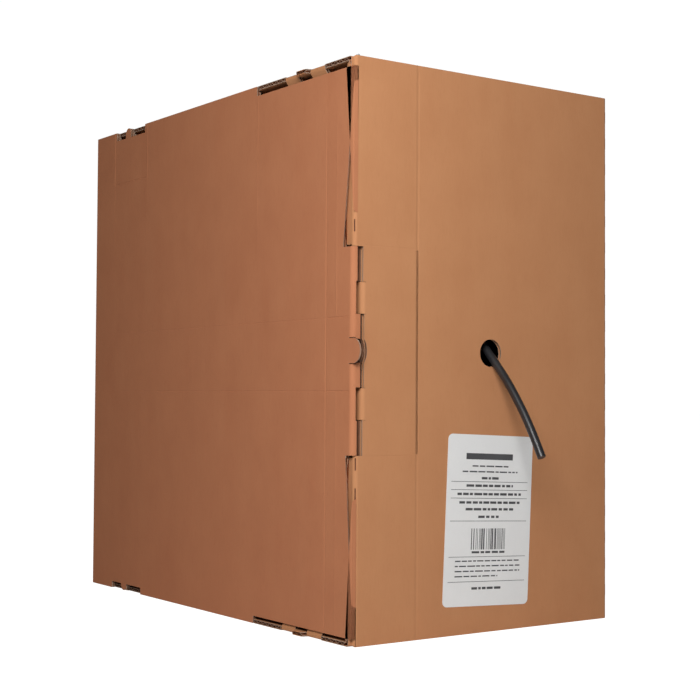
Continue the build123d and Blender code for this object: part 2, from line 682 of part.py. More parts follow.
# ---- Writing ---------------------------------------------------------------------------------------
def main():
    """Builds every piece and writes it."""
    os.makedirs("parts", exist_ok=True)
    write(make_back_panel(), "back_panel")
    write(make_right_side_panel(), "right_side_panel")
    write(make_front_panel(), "front_panel")
    write(make_front_side_flap(), "front_side_flap")
    write(make_label(), "label")
    write(make_lid_panel(), "lid_panel")
    write(make_lid_lock_tabs(), "lid_lock_tabs")
    front_dust = make_top_front_dust_flap()
    top_pieces = {
        "panel": make_top_panel(),
        "front_tuck_flap": make_tuck_flap(FRONT_TUCK, FRONT_HOLDS, True),
        "rear_tuck_flap": make_tuck_flap(REAR_TUCK, REAR_HOLDS, False),
        "front_dust_flap": front_dust,
        "rear_dust_flap": make_mirrored(front_dust, Plane.XZ),
    }
    for name, piece in top_pieces.items():
        write(piece, f"top_{name}")
        write(make_mirrored(piece, MID_PLANE), f"bottom_{name}")
    write(make_carrier(CARRIER_LEFT, True), "axle_board_left")
    write(make_carrier(CARRIER_RIGHT, False), "axle_board_right")
    write(make_axle_tube(), "axle_tube")
    write(make_flange(FLANGE_LEFT, True), "spool_flange_left")
    write(make_flange(FLANGE_RIGHT, False), "spool_flange_right")
    write(make_drum_core(), "drum_core")
    write(make_hub_bush(FLANGE_LEFT - BUSH_RIM, 1), "hub_bush_left")
    write(make_hub_bush(FLANGE_RIGHT + FLANGE + BUSH_RIM, -1), "hub_bush_right")
    write(make_tie_rods(), "tie_rods")
    write(make_tie_washers(), "tie_washers")
    write(make_tie_nuts(), "tie_nuts")
    write(make_cable_winding(), "cable_winding")
    write(make_cable(lead_points()), "cable_lead")
    write(make_cable(FREE_END), "cable_free_end")


main()
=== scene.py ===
"""Cable spool box: a die-cut corrugated carton with a reel of data cable inside."""

import logging
import math
import random
from dataclasses import dataclass
from enum import Enum, IntEnum

import bmesh
import bpy
from mathutils import Matrix, Vector


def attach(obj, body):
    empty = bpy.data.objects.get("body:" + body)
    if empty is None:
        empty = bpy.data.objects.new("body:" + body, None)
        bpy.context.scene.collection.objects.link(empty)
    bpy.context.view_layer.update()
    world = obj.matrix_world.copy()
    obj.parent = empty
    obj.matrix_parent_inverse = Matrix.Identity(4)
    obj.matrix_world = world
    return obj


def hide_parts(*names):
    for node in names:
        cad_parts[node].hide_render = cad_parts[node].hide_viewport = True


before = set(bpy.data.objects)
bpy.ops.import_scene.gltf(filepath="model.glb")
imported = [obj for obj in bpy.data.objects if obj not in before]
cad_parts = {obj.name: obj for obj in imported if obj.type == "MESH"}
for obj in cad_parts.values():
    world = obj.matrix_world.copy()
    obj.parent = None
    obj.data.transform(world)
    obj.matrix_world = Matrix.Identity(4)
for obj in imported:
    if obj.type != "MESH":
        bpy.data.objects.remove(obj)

LOG = logging.getLogger("cable_spool_box")
MM = 0.001
Point2 = tuple[float, float]
Point3 = tuple[float, float, float]

# Carton sizes in millimetres, the same as the frame's.
WIDTH, DEPTH, HEIGHT = 240.0, 402.0, 400.0
LEFT, RIGHT = -WIDTH / 2, WIDTH / 2
FRONT, BACK = -DEPTH / 2, DEPTH / 2
BOARD = 3.0
TUCK_X = LEFT + BOARD + 0.3
SLOT_X = TUCK_X + 5.4
LID_CLEAR = TUCK_X - 0.2
HINGE_GAP = 0.4
LOCK_LOW, LOCK_HIGH = 128.0, 270.0
TABS = ((128.25, 151.75), (174.25, 223.75), (246.25, 269.75))
FINGERS = ((152.25, 173.75), (224.25, 245.75))
FINGER_ROOT = -108.6
LOCK_CENTRE = 199.0
AXLE_Z = 200.0
BEYOND = 1.0  # how far a cutter reaches past what it cuts
SNAP = 0.0001  # how near a cutting plane a point counts as on it


class Axis(Enum):
    """The direction that a cutter or a sheet is swept along."""

    X = 0
    Y = 1
    Z = 2

    def place(self, first: float, second: float, along: float) -> Vector:
        """Point whose two section coordinates, in row order, are first and second."""
        values = [first, second]
        values.insert(self.value, along)
        return Vector(values)


class Layer(IntEnum):
    """What a board's face belongs to, as the index of its material."""

    LINER = 0
    CUT = 1
    MEDIUM_AND_DIVE_SHADE = 2
    SLIT_SHADOW = 3


# ---- Meshes -----------------------------------------------------------------------------


def link(item: bpy.types.Object) -> bpy.types.Object:
    """Puts an object in the scene and hands it back."""
    bpy.context.scene.collection.objects.link(item)
    return item


def with_borders(faces: list[bmesh.types.BMFace]) -> list:
    """Faces with their edges and vertices, as bisect_plane wants them."""
    return faces + list({e for f in faces for e in f.edges}) + list({v for f in faces for v in f.verts})


@dataclass
class Solid:
    """A mesh in the making, in millimetres, that becomes one named piece."""

    name: str

    def __post_init__(self) -> None:
        """Starts the empty mesh."""
        self.bm = bmesh.new()

    def finish(self, body: str, slot: str, materials: list[bpy.types.Material],
               smooth: float = 35.0) -> bpy.types.Object:
        """Writes the mesh in metres and makes it ride on a body.

        Args:
            body: the CAD body that the piece moves with.
            slot: the record's material slot; not used.
            materials: the piece's materials, in the order of the faces' indices.
            smooth: the angle in degrees above which an edge stays sharp.

        Returns:
            The finished object.
        """
        mesh = bpy.data.meshes.new(self.name)
        bmesh.ops.scale(self.bm, vec=(MM, MM, MM), verts=self.bm.verts)
        self.bm.to_mesh(mesh)
        self.bm.free()
        for material in materials:
            mesh.materials.append(material)
        mesh.shade_smooth()
        mesh.set_sharp_from_angle(angle=math.radians(smooth))
        piece = link(bpy.data.objects.new(self.name, mesh))
        even = piece.modifiers.new("even_normals", "WEIGHTED_NORMAL")
        even.keep_sharp = True
        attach(piece, body)
        LOG.info("%s: %d faces", self.name, len(mesh.polygons))
        return piece

    def join_to(self, other: "Solid") -> None:
        """Moves this mesh into another one."""
        mesh = bpy.data.meshes.new(self.name)
        self.bm.to_mesh(mesh)
        self.bm.free()
        other.bm.from_mesh(mesh)
        bpy.data.meshes.remove(mesh)


def add_sheet(bm: bmesh.types.BMesh, points: list[Point2], axis: Axis, span: Point2,
              thickness: float, index: int) -> list[bmesh.types.BMVert]:
    """Sweeps an open line and thickens it to a closed sheet.

    Args:
        bm: the mesh that the sheet joins.
        points: the line, in the two row coordinates across axis.
        axis: the direction of the sweep.
        span: start and end of the sweep.
        thickness: thickness to the right of the line for X and Z, to its left for Y.
        index: the material index of the faces.

    Returns:
        The sheet's vertices.
    """
    row = [bm.verts.new(axis.place(a, b, span[0])) for a, b in points]
    edges = [bm.edges.new(pair) for pair in zip(row, row[1:])]
    swept = bmesh.ops.extrude_edge_only(bm, edges=edges)["geom"]
    moved = [g for g in swept if isinstance(g, bmesh.types.BMVert)]
    bmesh.ops.translate(bm, verts=moved, vec=axis.place(0, 0, span[1] - span[0]))
    faces = [g for g in swept if isinstance(g, bmesh.types.BMFace)]
    for face in faces:
        face.normal_update()
    made = bmesh.ops.solidify(bm, geom=faces, thickness=thickness)["geom"]
    verts = set(row + moved + [g for g in made if isinstance(g, bmesh.types.BMVert)])
    shell = {face for vert in verts for face in vert.link_faces}
    for face in shell:
        face.material_index = index
    bmesh.ops.recalc_face_normals(bm, faces=list(shell))
    return list(verts)


def add_prism(bm: bmesh.types.BMesh, low: list[Point2], axis: Axis, span: Point2, index: int,
              high: list[Point2] | None = None) -> None:
    """Adds a closed prism, whose two ends may differ.

    Args:
        bm: the mesh that the prism joins.
        low: corners of the end at span's start, in the row coordinates across axis.
        axis: the prism's direction.
        span: start and end along axis.
        index: the material index of its faces.
        high: corners of the other end, if they differ.
    """
    base = bm.faces.new([bm.verts.new(axis.place(a, b, span[0])) for a, b in low])
    swept = bmesh.ops.extrude_face_region(bm, geom=[base], use_keep_orig=True)["geom"]
    top = next(g for g in swept if isinstance(g, bmesh.types.BMFace))
    bmesh.ops.translate(bm, verts=top.verts, vec=axis.place(0, 0, span[1] - span[0]))
    if high:
        for vert, (a, b) in zip(base.verts, high):
            partner = next(e.other_vert(vert) for e in vert.link_edges if e.other_vert(vert) in top.verts)
            partner.co = axis.place(a, b, span[1])
    shell = {face for vert in [*base.verts, *top.verts] for face in vert.link_faces}
    for face in shell:
        face.material_index = index
    bmesh.ops.recalc_face_normals(bm, faces=list(shell))


def arc(centre: Point2, radius: float, start: float, end: float, steps: int) -> list[Point2]:
    """Points along an arc, with both ends; the angles are degrees."""
    turns = (math.radians(start + (end - start) * i / steps) for i in range(steps + 1))
    return [(centre[0] + radius * math.cos(t), centre[1] + radius * math.sin(t)) for t in turns]


def ease(value: float, low: float, high: float) -> float:
    """Smooth step from 0 at low to 1 at high."""
    share = min(1.0, max(0.0, (value - low) / (high - low)))
    return share * share * (3 - 2 * share)


def box_corners(a: Point2, b: Point2) -> list[Point2]:
    """Corners of the rectangle whose sides run from a[0] to a[1] and from b[0] to b[1]."""
    return [(a[0], b[0]), (a[1], b[0]), (a[1], b[1]), (a[0], b[1])]


@dataclass
class Die:
    """Cutting tools for one board; each cut is made by itself."""

    cut_index: int = Layer.CUT

    def cut(self, solid: Solid, shapes: list[tuple], keep: bool = False) -> None:
        """Cuts prisms out of a board, or keeps only what lies in them.

        Args:
            solid: the board.
            shapes: arguments of add_prism, without the mesh and the index; they don't touch.
            keep: True keeps what lies inside the shapes.
        """
        tool = bmesh.new()
        for shape in shapes:
            low, axis, span, *high = shape
            add_prism(tool, low, axis, span, self.cut_index, *high)
        board_mesh = bpy.data.meshes.new("board_in_press")
        tool_mesh = bpy.data.meshes.new("die")
        solid.bm.to_mesh(board_mesh)
        tool.to_mesh(tool_mesh)
        tool.free()
        for mesh in (board_mesh, tool_mesh):
            for _ in range(3):
                mesh.materials.append(None)
        board = link(bpy.data.objects.new("board_in_press", board_mesh))
        die = link(bpy.data.objects.new("die", tool_mesh))
        press = board.modifiers.new("press", "BOOLEAN")
        press.operation = "INTERSECT" if keep else "DIFFERENCE"
        press.solver = "MANIFOLD"
        press.object = die
        pressed = bpy.data.meshes.new_from_object(board.evaluated_get(bpy.context.evaluated_depsgraph_get()))
        solid.bm.clear()
        solid.bm.from_mesh(pressed)
        for item in (board, die):
            bpy.data.objects.remove(item)
        for mesh in (board_mesh, tool_mesh, pressed):
            bpy.data.meshes.remove(mesh)


DIE = Die()


@dataclass
class Corrugated:
    """Single-wall board: two liners and a fluted medium between them."""

    thickness: float = BOARD
    liner: float = 0.38
    medium: float = 0.24
    pitch: float = 6.4
    steps: int = 10
    play: float = 0.02

    def wave(self, start: float, end: float) -> list[Point2]:
        """The medium's line: distance along the board and depth below its outer face."""
        middle = self.thickness / 2
        height = middle - self.liner - self.medium / 2 - self.play
        count = max(2, round((end - start) / self.pitch * self.steps))
        places = [start + (end - start) * i / count for i in range(count + 1)]
        return [(s, middle - height * math.cos(2 * math.pi * s / self.pitch)) for s in places]


BOARD_STOCK = Corrugated()


def press_bead(bm: bmesh.types.BMesh, faces_at: tuple[Axis, float], line: tuple[Point2, Point2],
               width: float, rise: float) -> None:
    """Raises a soft bead in a flat liner along a straight line.

    Args:
        bm: the board.
        faces_at: the axis across the liner and its place on it.
        line: the bead's two ends, in the row coordinates across that axis, level or upright.
        width: the bead's width.
        rise: its height, signed along the axis.
    """
    axis, place = faces_at
    upright = line[0][0] == line[1][0]
    across = 0 if upright else 1
    low, high = sorted((line[0][1 - across], line[1][1 - across]))
    middle = line[0][across]

    def flat() -> list[bmesh.types.BMFace]:
        """Faces of the liner that the bead may touch."""
        return [f for f in bm.faces if all(abs(v.co[axis.value] - place) < 0.01 + abs(rise) for v in f.verts)
                and abs(f.normal[axis.value]) > 0.8]

    rows = [i for i in range(3) if i != axis.value]
    cuts = [(across, middle + width * share) for share in (-0.5, -0.25, 0, 0.25, 0.5)]
    cuts += [(1 - across, low), (1 - across, high)]
    for which, at in cuts:
        normal = Vector((0, 0, 0))
        normal[rows[which]] = 1
        origin = normal * at
        bmesh.ops.bisect_plane(bm, geom=with_borders(flat()), plane_co=origin, plane_no=normal, dist=SNAP)
    for vert in {v for f in flat() for v in f.verts}:
        offset = abs(vert.co[rows[across]] - middle) / (width / 2)
        along = vert.co[rows[1 - across]]
        if offset < 0.99 and low <= along <= high:
            vert.co[axis.value] = place + rise * (1 + math.cos(math.pi * offset)) / 2


# ---- Node groups and finishes ----------------------------------------------------------------


class Nodes:
    """Short ways to add and join shader nodes in one tree."""

    def __init__(self, tree: bpy.types.NodeTree) -> None:
        """Keeps the tree."""
        self.tree = tree

    def add(self, kind: str, **settings: object) -> bpy.types.Node:
        """Adds a node and sets its properties."""
        node = self.tree.nodes.new(kind)
        for name, value in settings.items():
            setattr(node, name, value)
        return node

    def join(self, source: bpy.types.NodeSocket, target: bpy.types.NodeSocket) -> None:
        """Links two sockets."""
        self.tree.links.new(source, target)

    def noise(self, vector: bpy.types.NodeSocket, scale: float, detail: float = 4.0,
              rough: float = 0.55) -> bpy.types.NodeSocket:
        """A noise pattern's value on a vector."""
        node = self.add("ShaderNodeTexNoise")
        node.inputs["Scale"].default_value = scale
        node.inputs["Detail"].default_value = detail
        node.inputs["Roughness"].default_value = rough
        self.join(vector, node.inputs["Vector"])
        return node.outputs["Fac"]

    def stretch(self, vector: bpy.types.NodeSocket, scale: Point3) -> bpy.types.NodeSocket:
        """The vector scaled along each axis."""
        node = self.add("ShaderNodeMapping")
        node.inputs["Scale"].default_value = scale
        self.join(vector, node.inputs["Vector"])
        return node.outputs["Vector"]

    def math(self, operation: str, first: object, second: object = 0.0,
             third: object = 0.0) -> bpy.types.NodeSocket:
        """A Math node on sockets or numbers."""
        node = self.add("ShaderNodeMath", operation=operation)
        for slot, value in zip(node.inputs, (first, second, third)):
            if isinstance(value, bpy.types.NodeSocket):
                self.join(value, slot)
            else:
                slot.default_value = float(value)
        return node.outputs[0]

    def ramp(self, value: bpy.types.NodeSocket, low: float, high: float, to_low: float = 0.0,
             to_high: float = 1.0) -> bpy.types.NodeSocket:
        """Maps a value between two limits to two others, held at both ends."""
        node = self.add("ShaderNodeMapRange", clamp=True)
        self.join(value, node.inputs["Value"])
        for name, number in (("From Min", low), ("From Max", high), ("To Min", to_low), ("To Max", to_high)):
            node.inputs[name].default_value = number
        return node.outputs["Result"]

    def mix(self, amount: bpy.types.NodeSocket, first: object, second: object,
            blend: str = "MIX") -> bpy.types.NodeSocket:
        """A colour mix; first and second are sockets or colours."""
        node = self.add("ShaderNodeMix", data_type="RGBA", blend_type=blend)
        self.join(amount, node.inputs["Factor"])
        for slot, value in ((node.inputs[6], first), (node.inputs[7], second)):
            if isinstance(value, bpy.types.NodeSocket):
                self.join(value, slot)
            else:
                slot.default_value = (*value, 1.0)
        return node.outputs[2]


def srgb(red: int, green: int, blue: int) -> Point3:
    """A display colour as linear light."""
    return tuple(c / 12.92 if c <= 0.04045 else ((c + 0.055) / 1.055) ** 2.4
                 for c in (red / 255, green / 255, blue / 255))


def make_paper_fibre_group() -> bpy.types.NodeTree:
    """Group: blotches, streaks and fibre height of paper made on a machine.

    Returns:
        A group with inputs Vector and Stretch and outputs Blotch, Streak and Fibre.
    """
    tree = bpy.data.node_groups.new("paper_fibre", "ShaderNodeTree")
    tree.interface.new_socket("Vector", in_out="INPUT", socket_type="NodeSocketVector")
    tree.interface.new_socket("Stretch", in_out="INPUT", socket_type="NodeSocketVector")
    for name in ("Blotch", "Streak", "Fibre"):
        tree.interface.new_socket(name, in_out="OUTPUT", socket_type="NodeSocketFloat")
    nodes = Nodes(tree)
    source = nodes.add("NodeGroupInput")
    sink = nodes.add("NodeGroupOutput")
    scaled = nodes.add("ShaderNodeVectorMath", operation="MULTIPLY")
    nodes.join(source.outputs["Vector"], scaled.inputs[0])
    nodes.join(source.outputs["Stretch"], scaled.inputs[1])
    blotch = nodes.noise(source.outputs["Vector"], 26.0, 5.0, 0.62)
    streak = nodes.noise(scaled.outputs["Vector"], 60.0, 4.0, 0.6)
    fibre = nodes.noise(scaled.outputs["Vector"], 620.0, 3.0, 0.65)
    nodes.join(nodes.ramp(blotch, 0.3, 0.7), sink.inputs["Blotch"])
    nodes.join(nodes.ramp(streak, 0.3, 0.7), sink.inputs["Streak"])
    nodes.join(nodes.ramp(fibre, 0.25, 0.75), sink.inputs["Fibre"])
    return tree


def start_material(name: str) -> tuple[bpy.types.Material, Nodes, bpy.types.Node, bpy.types.NodeSocket]:
    """A new material with its Principled shader and Object coordinates."""
    material = bpy.data.materials.new(name)
    material.use_nodes = True
    nodes = Nodes(material.node_tree)
    shader = material.node_tree.nodes["Principled BSDF"]
    place = nodes.add("ShaderNodeTexCoord").outputs["Object"]
    return material, nodes, shader, place


def add_bump(nodes: Nodes, shader: bpy.types.Node, height: bpy.types.NodeSocket, strength: float,
             distance: float) -> None:
    """Feeds a height to the shader's normal."""
    bump = nodes.add("ShaderNodeBump")
    bump.inputs["Strength"].default_value = strength
    bump.inputs["Distance"].default_value = distance
    nodes.join(height, bump.inputs["Height"])
    nodes.join(bump.outputs["Normal"], shader.inputs["Normal"])


@dataclass(frozen=True)
class Paperboard:
    """Kraft, card or coated paper with blotches, machine streaks and fibre."""

    name: str
    base: Point3
    dark: Point3
    pale: Point3
    stretch: Point3 = (1.0, 1.0, 5.0)
    rough: float = 0.82
    bump: float = 0.35
    flutes: float = 0.0
    across: int = 0

    def make(self, fibre: bpy.types.NodeTree) -> bpy.types.Material:
        """Builds the material.

        Args:
            fibre: the shared paper_fibre group.

        Returns:
            The material.
        """
        material, nodes, shader, place = start_material(self.name)
        group = nodes.add("ShaderNodeGroup", node_tree=fibre)
        nodes.join(place, group.inputs["Vector"])
        group.inputs["Stretch"].default_value = self.stretch
        colour = nodes.mix(nodes.math("MULTIPLY", group.outputs["Blotch"], 0.4), self.base, self.dark)
        colour = nodes.mix(nodes.math("MULTIPLY", group.outputs["Streak"], 0.22), colour, self.pale)
        colour = nodes.mix(nodes.ramp(group.outputs["Fibre"], 0.0, 0.45, 0.22, 0.0), colour, self.dark)
        nodes.join(colour, shader.inputs["Base Color"])
        nodes.join(nodes.ramp(group.outputs["Streak"], 0.0, 1.0, self.rough - 0.06, self.rough + 0.06),
                   shader.inputs["Roughness"])
        shader.inputs["Specular IOR Level"].default_value = 0.28
        height = group.outputs["Fibre"]
        if self.flutes:
            axes = nodes.add("ShaderNodeSeparateXYZ")
            nodes.join(place, axes.inputs["Vector"])
            turn = nodes.math("MULTIPLY", axes.outputs[self.across], 2 * math.pi / (BOARD_STOCK.pitch * MM))
            height = nodes.math("MULTIPLY_ADD", nodes.math("COSINE", turn), self.flutes, height)
        add_bump(nodes, shader, height, self.bump, 0.00012)
        return material


@dataclass(frozen=True)
class Moulded:
    """Plastic with a slight orange-peel surface."""

    name: str
    colour: Point3
    rough: float = 0.42
    coat: float = 0.0
    grain: float = 900.0

    def make(self) -> bpy.types.Material:
        """Builds the material."""
        material, nodes, shader, place = start_material(self.name)
        speck = nodes.noise(place, self.grain, 2.0)
        smear = nodes.noise(place, 45.0, 4.0)
        tint = tuple(min(1.0, c * 1.6 + 0.004) for c in self.colour)
        nodes.join(nodes.mix(nodes.ramp(smear, 0.35, 0.75, 0.0, 0.5), self.colour, tint),
                   shader.inputs["Base Color"])
        nodes.join(nodes.ramp(smear, 0.3, 0.7, self.rough - 0.07, self.rough + 0.09), shader.inputs["Roughness"])
        shader.inputs["Coat Weight"].default_value = self.coat
        shader.inputs["Coat Roughness"].default_value = 0.25
        add_bump(nodes, shader, speck, 0.25, 0.00006)
        return material


@dataclass(frozen=True)
class Plywood:
    """Peeled birch faces with grain along the height and dark pores."""

    name: str = "birch_plywood"

    def make(self) -> bpy.types.Material:
        """Builds the material."""
        material, nodes, shader, place = start_material(self.name)
        grain = nodes.noise(nodes.stretch(place, (1.0, 9.0, 0.9)), 34.0, 6.0, 0.65)
        pores = nodes.noise(nodes.stretch(place, (1.0, 12.0, 0.6)), 240.0, 2.0)
        colour = nodes.mix(nodes.ramp(grain, 0.35, 0.7), srgb(214, 178, 128), srgb(176, 134, 86))
        colour = nodes.mix(nodes.ramp(pores, 0.62, 0.75, 0.0, 0.5), colour, srgb(120, 84, 50))
        nodes.join(colour, shader.inputs["Base Color"])
        shader.inputs["Roughness"].default_value = 0.62
        add_bump(nodes, shader, grain, 0.3, 0.0003)
        return material


@dataclass(frozen=True)
class ZincPlate:
    """Bright zinc plate with fine turning marks and dull patches."""

    name: str = "zinc_plate"

    def make(self) -> bpy.types.Material:
        """Builds the material."""
        material, nodes, shader, place = start_material(self.name)
        patch = nodes.noise(place, 300.0, 4.0)
        marks = nodes.noise(nodes.stretch(place, (12.0, 1.0, 1.0)), 500.0, 2.0)
        nodes.join(nodes.mix(nodes.ramp(patch, 0.3, 0.7), srgb(196, 198, 196), srgb(168, 166, 150)),
                   shader.inputs["Base Color"])
        nodes.join(nodes.ramp(patch, 0.3, 0.7, 0.28, 0.46), shader.inputs["Roughness"])
        shader.inputs["Metallic"].default_value = 1.0
        add_bump(nodes, shader, marks, 0.2, 0.0001)
        return material


class Finishes:
    """Every finish of the box, each made once."""

    def __init__(self) -> None:
        """Builds the shared group and the materials."""
        fibre = make_paper_fibre_group()
        liner = srgb(192, 134, 92)
        liner_dark = srgb(178, 119, 79)
        liner_pale = srgb(200, 146, 104)
        self.walls = Paperboard("kraft_liner_walls", liner, liner_dark, liner_pale, (1.0, 1.0, 0.22)).make(fibre)
        # The lid's kraft is the walls' kraft made a little darker and redder: painted shade for the side that the
        # light reaches less.
        self.lid = Paperboard("kraft_liner_lid_painted_shade", srgb(187, 121, 84), srgb(171, 105, 72), srgb(194, 133, 95),
                              (1.0, 1.0, 0.22)).make(fibre)
        self.tops = Paperboard("kraft_liner_top", liner, liner_dark, liner_pale, (0.22, 1.0, 1.0)).make(fibre)
        self.cut = Paperboard("cut_edge", srgb(176, 150, 130), srgb(120, 92, 74), srgb(205, 186, 168),
                              (2.0, 2.0, 2.0), 0.95, 0.8).make(fibre)
        # The medium's dark brown also serves as painted shade on the tabs where they dive behind the front panel.
        self.medium = Paperboard("fluted_medium_and_dive_shade", srgb(120, 78, 54), srgb(84, 50, 34), srgb(146, 104, 76),
                                 (1.0, 1.0, 1.0), 0.92, 0.4).make(fibre)
        self.slit = Paperboard("slit_shadow", srgb(92, 52, 34), srgb(70, 38, 24), srgb(110, 66, 44)).make(fibre)
        self.double_wall = Paperboard("double_wall_board", srgb(184, 136, 98), srgb(160, 112, 78),
                                      srgb(200, 154, 114), (1.0, 1.0, 0.3), 0.85, 0.35, 1.2, 1).make(fibre)
        self.card = Paperboard("wound_card", srgb(156, 120, 88), srgb(126, 94, 68), srgb(178, 144, 110),
                               (5.0, 1.0, 1.0), 0.8, 0.4).make(fibre)
        self.label = Paperboard("label_paper", srgb(233, 233, 232), srgb(222, 222, 221), srgb(241, 241, 240),
                                (1.0, 1.0, 1.0), 0.5, 0.08).make(fibre)
        self.print_ink = Moulded("label_print", srgb(74, 74, 76), 0.55, 0.0, 1500.0).make()
        self.jacket = Moulded("outdoor_jacket", srgb(34, 34, 36), 0.40, 0.15).make()
        self.bush = Moulded("hub_bush_plastic", srgb(52, 52, 55), 0.5).make()
        self.plywood = Plywood().make()
        self.zinc = ZincPlate().make()


# ---- Carton walls -------------------------------------------------------------------------------


@dataclass
class CartonWalls:
    """Side flap, front, right side and back, wrapped round in one run of board."""

    fold: float = 2.8
    bulge: float = 2.2  # how far the front left fold stands out above the lock
    bulge_low: float = 0.5  # the same below the lock
    flush: float = 2.3  # the same for the strip beside the top notch
    middle_root: float = -110.2  # left edge of the front liner behind the middle tab
    bulge_start: float = 3.6
    bulge_end: float = 6.0
    flush_levels: tuple[float, ...] = (349.0, 351.0, 353.5, 356.0, 358.0)
    flush_edge: float = 9.0
    flap_depth: float = 60.0
    strip: float = 9.6
    chamfer: float = 4.7
    step: float = 52.0
    slant: float = 38.0
    window: float = 19.2
    pocket: float = 31.5
    window_spare: float = 1.5
    hole: Point3 = (2.5, 200.0, 10.0)
    dash: float = 8.3
    dash_period: float = 20.2
    first_dash: float = 380.8
    slit: float = 0.8
    slit_depth: float = 0.06

    def outer_line(self) -> list[Point2]:
        """Plan of the outer faces, from the side flap round to the lid's crease."""
        r = self.fold
        line = [(TUCK_X, FRONT + y) for y in (self.flap_depth, self.bulge_end, self.bulge_start)]
        line += arc((TUCK_X + r, FRONT + r), r, 180, 270, 6)
        line += arc((RIGHT - r, FRONT + r), r, 270, 360, 6)
        line += arc((RIGHT - r, BACK - r), r, 0, 90, 6)
        line += arc((LEFT + r, BACK - r), r, 90, 135, 3)
        return line

    def build(self, finishes: Finishes) -> bpy.types.Object:
        """Makes the walls and cuts them.

        Args:
            finishes: the box's finishes.

        Returns:
            The walls' object.
        """
        walls = Solid("carton_walls")
        stock = BOARD_STOCK
        add_sheet(walls.bm, self.outer_line(), Axis.Z, (0, HEIGHT), -stock.liner, Layer.LINER)
        inner = [(TUCK_X + BOARD, FRONT + self.flap_depth), (TUCK_X + BOARD, FRONT + self.bulge_end),
                 (TUCK_X + BOARD, FRONT + self.bulge_start), (TUCK_X + BOARD, FRONT + BOARD),
                 (RIGHT - BOARD, FRONT + BOARD), (RIGHT - BOARD, BACK - BOARD), (LEFT + BOARD, BACK - BOARD)]
        add_sheet(walls.bm, inner, Axis.Z, (0, HEIGHT), stock.liner, Layer.LINER)
        self.beads(walls)
        runs = [
            [(TUCK_X + d, FRONT + s) for s, d in stock.wave(BOARD, self.flap_depth)],
            [(TUCK_X + s, FRONT + d) for s, d in stock.wave(BOARD, RIGHT - TUCK_X - BOARD)],
            [(RIGHT - d, FRONT + s) for s, d in stock.wave(BOARD, DEPTH - BOARD)],
            [(RIGHT - s, BACK - d) for s, d in stock.wave(BOARD, WIDTH - BOARD)],
        ]
        for run in runs:
            add_sheet(walls.bm, run, Axis.Z, (0, HEIGHT), stock.medium, Layer.MEDIUM_AND_DIVE_SHADE)
        self.cut(walls)
        self.push_fold(walls)
        self.add_dashes(walls)
        piece = walls.finish("root", "kraft_board", [finishes.walls, finishes.cut, finishes.medium, finishes.slit])
        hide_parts("front_panel", "front_side_flap", "right_side_panel", "back_panel")
        return piece

    def fold_out(self, z: float) -> float:
        """How far the front left fold stands out at a height."""
        return self.bulge_low + (self.bulge - self.bulge_low) * ease(z, LOCK_LOW, LOCK_HIGH)

    def push_fold(self, walls: Solid) -> None:
        """Pushes the front left fold out to the lid's face, and the strip at the top with it."""
        planes = [((0, 0, level), (0, 0, 1)) for level in self.flush_levels]
        bends = (self.bulge_start, (self.bulge_start + self.bulge_end) / 2, self.bulge_end)
        planes += [((0, FRONT + out, 0), (0, 1, 0)) for out in bends]
        for place, normal in planes:
            near = [f for f in walls.bm.faces if f.calc_center_median().x < SLOT_X
                    and f.calc_center_median().y < FRONT + self.flap_depth]
            bmesh.ops.bisect_plane(walls.bm, geom=with_borders(near), plane_co=place, plane_no=normal,
                                   dist=SNAP)
        for vert in walls.bm.verts:
            if vert.co.x > SLOT_X or vert.co.y > FRONT + self.flap_depth:
                continue
            share = ease(SLOT_X - vert.co.x, 0.0, SLOT_X - TUCK_X - BOARD - 0.1)
            out = vert.co.y - FRONT
            root = 1 - ease(out, self.bulge_start - 0.1, self.bulge_end)
            flush = ease(vert.co.z, self.flush_levels[0], self.flush_levels[-1]) if out < self.strip + 0.1 else 0.0
            vert.co.x -= share * max(self.fold_out(vert.co.z) * root, self.flush * flush)
            if flush and out > self.flush_edge:
                vert.co.y = FRONT + self.flush_edge

    def beads(self, walls: Solid) -> None:
        """Presses the outline of the lock tabs through the front liner."""
        press_bead(walls.bm, (Axis.Y, FRONT), ((-64.5, 128.5), (-64.5, 270.0)), 3.4, 0.5)
        for level in (127.5, 271.0):
            press_bead(walls.bm, (Axis.Y, FRONT), ((SLOT_X + 0.5, level), (-66.5, level)), 1.2, 0.3)

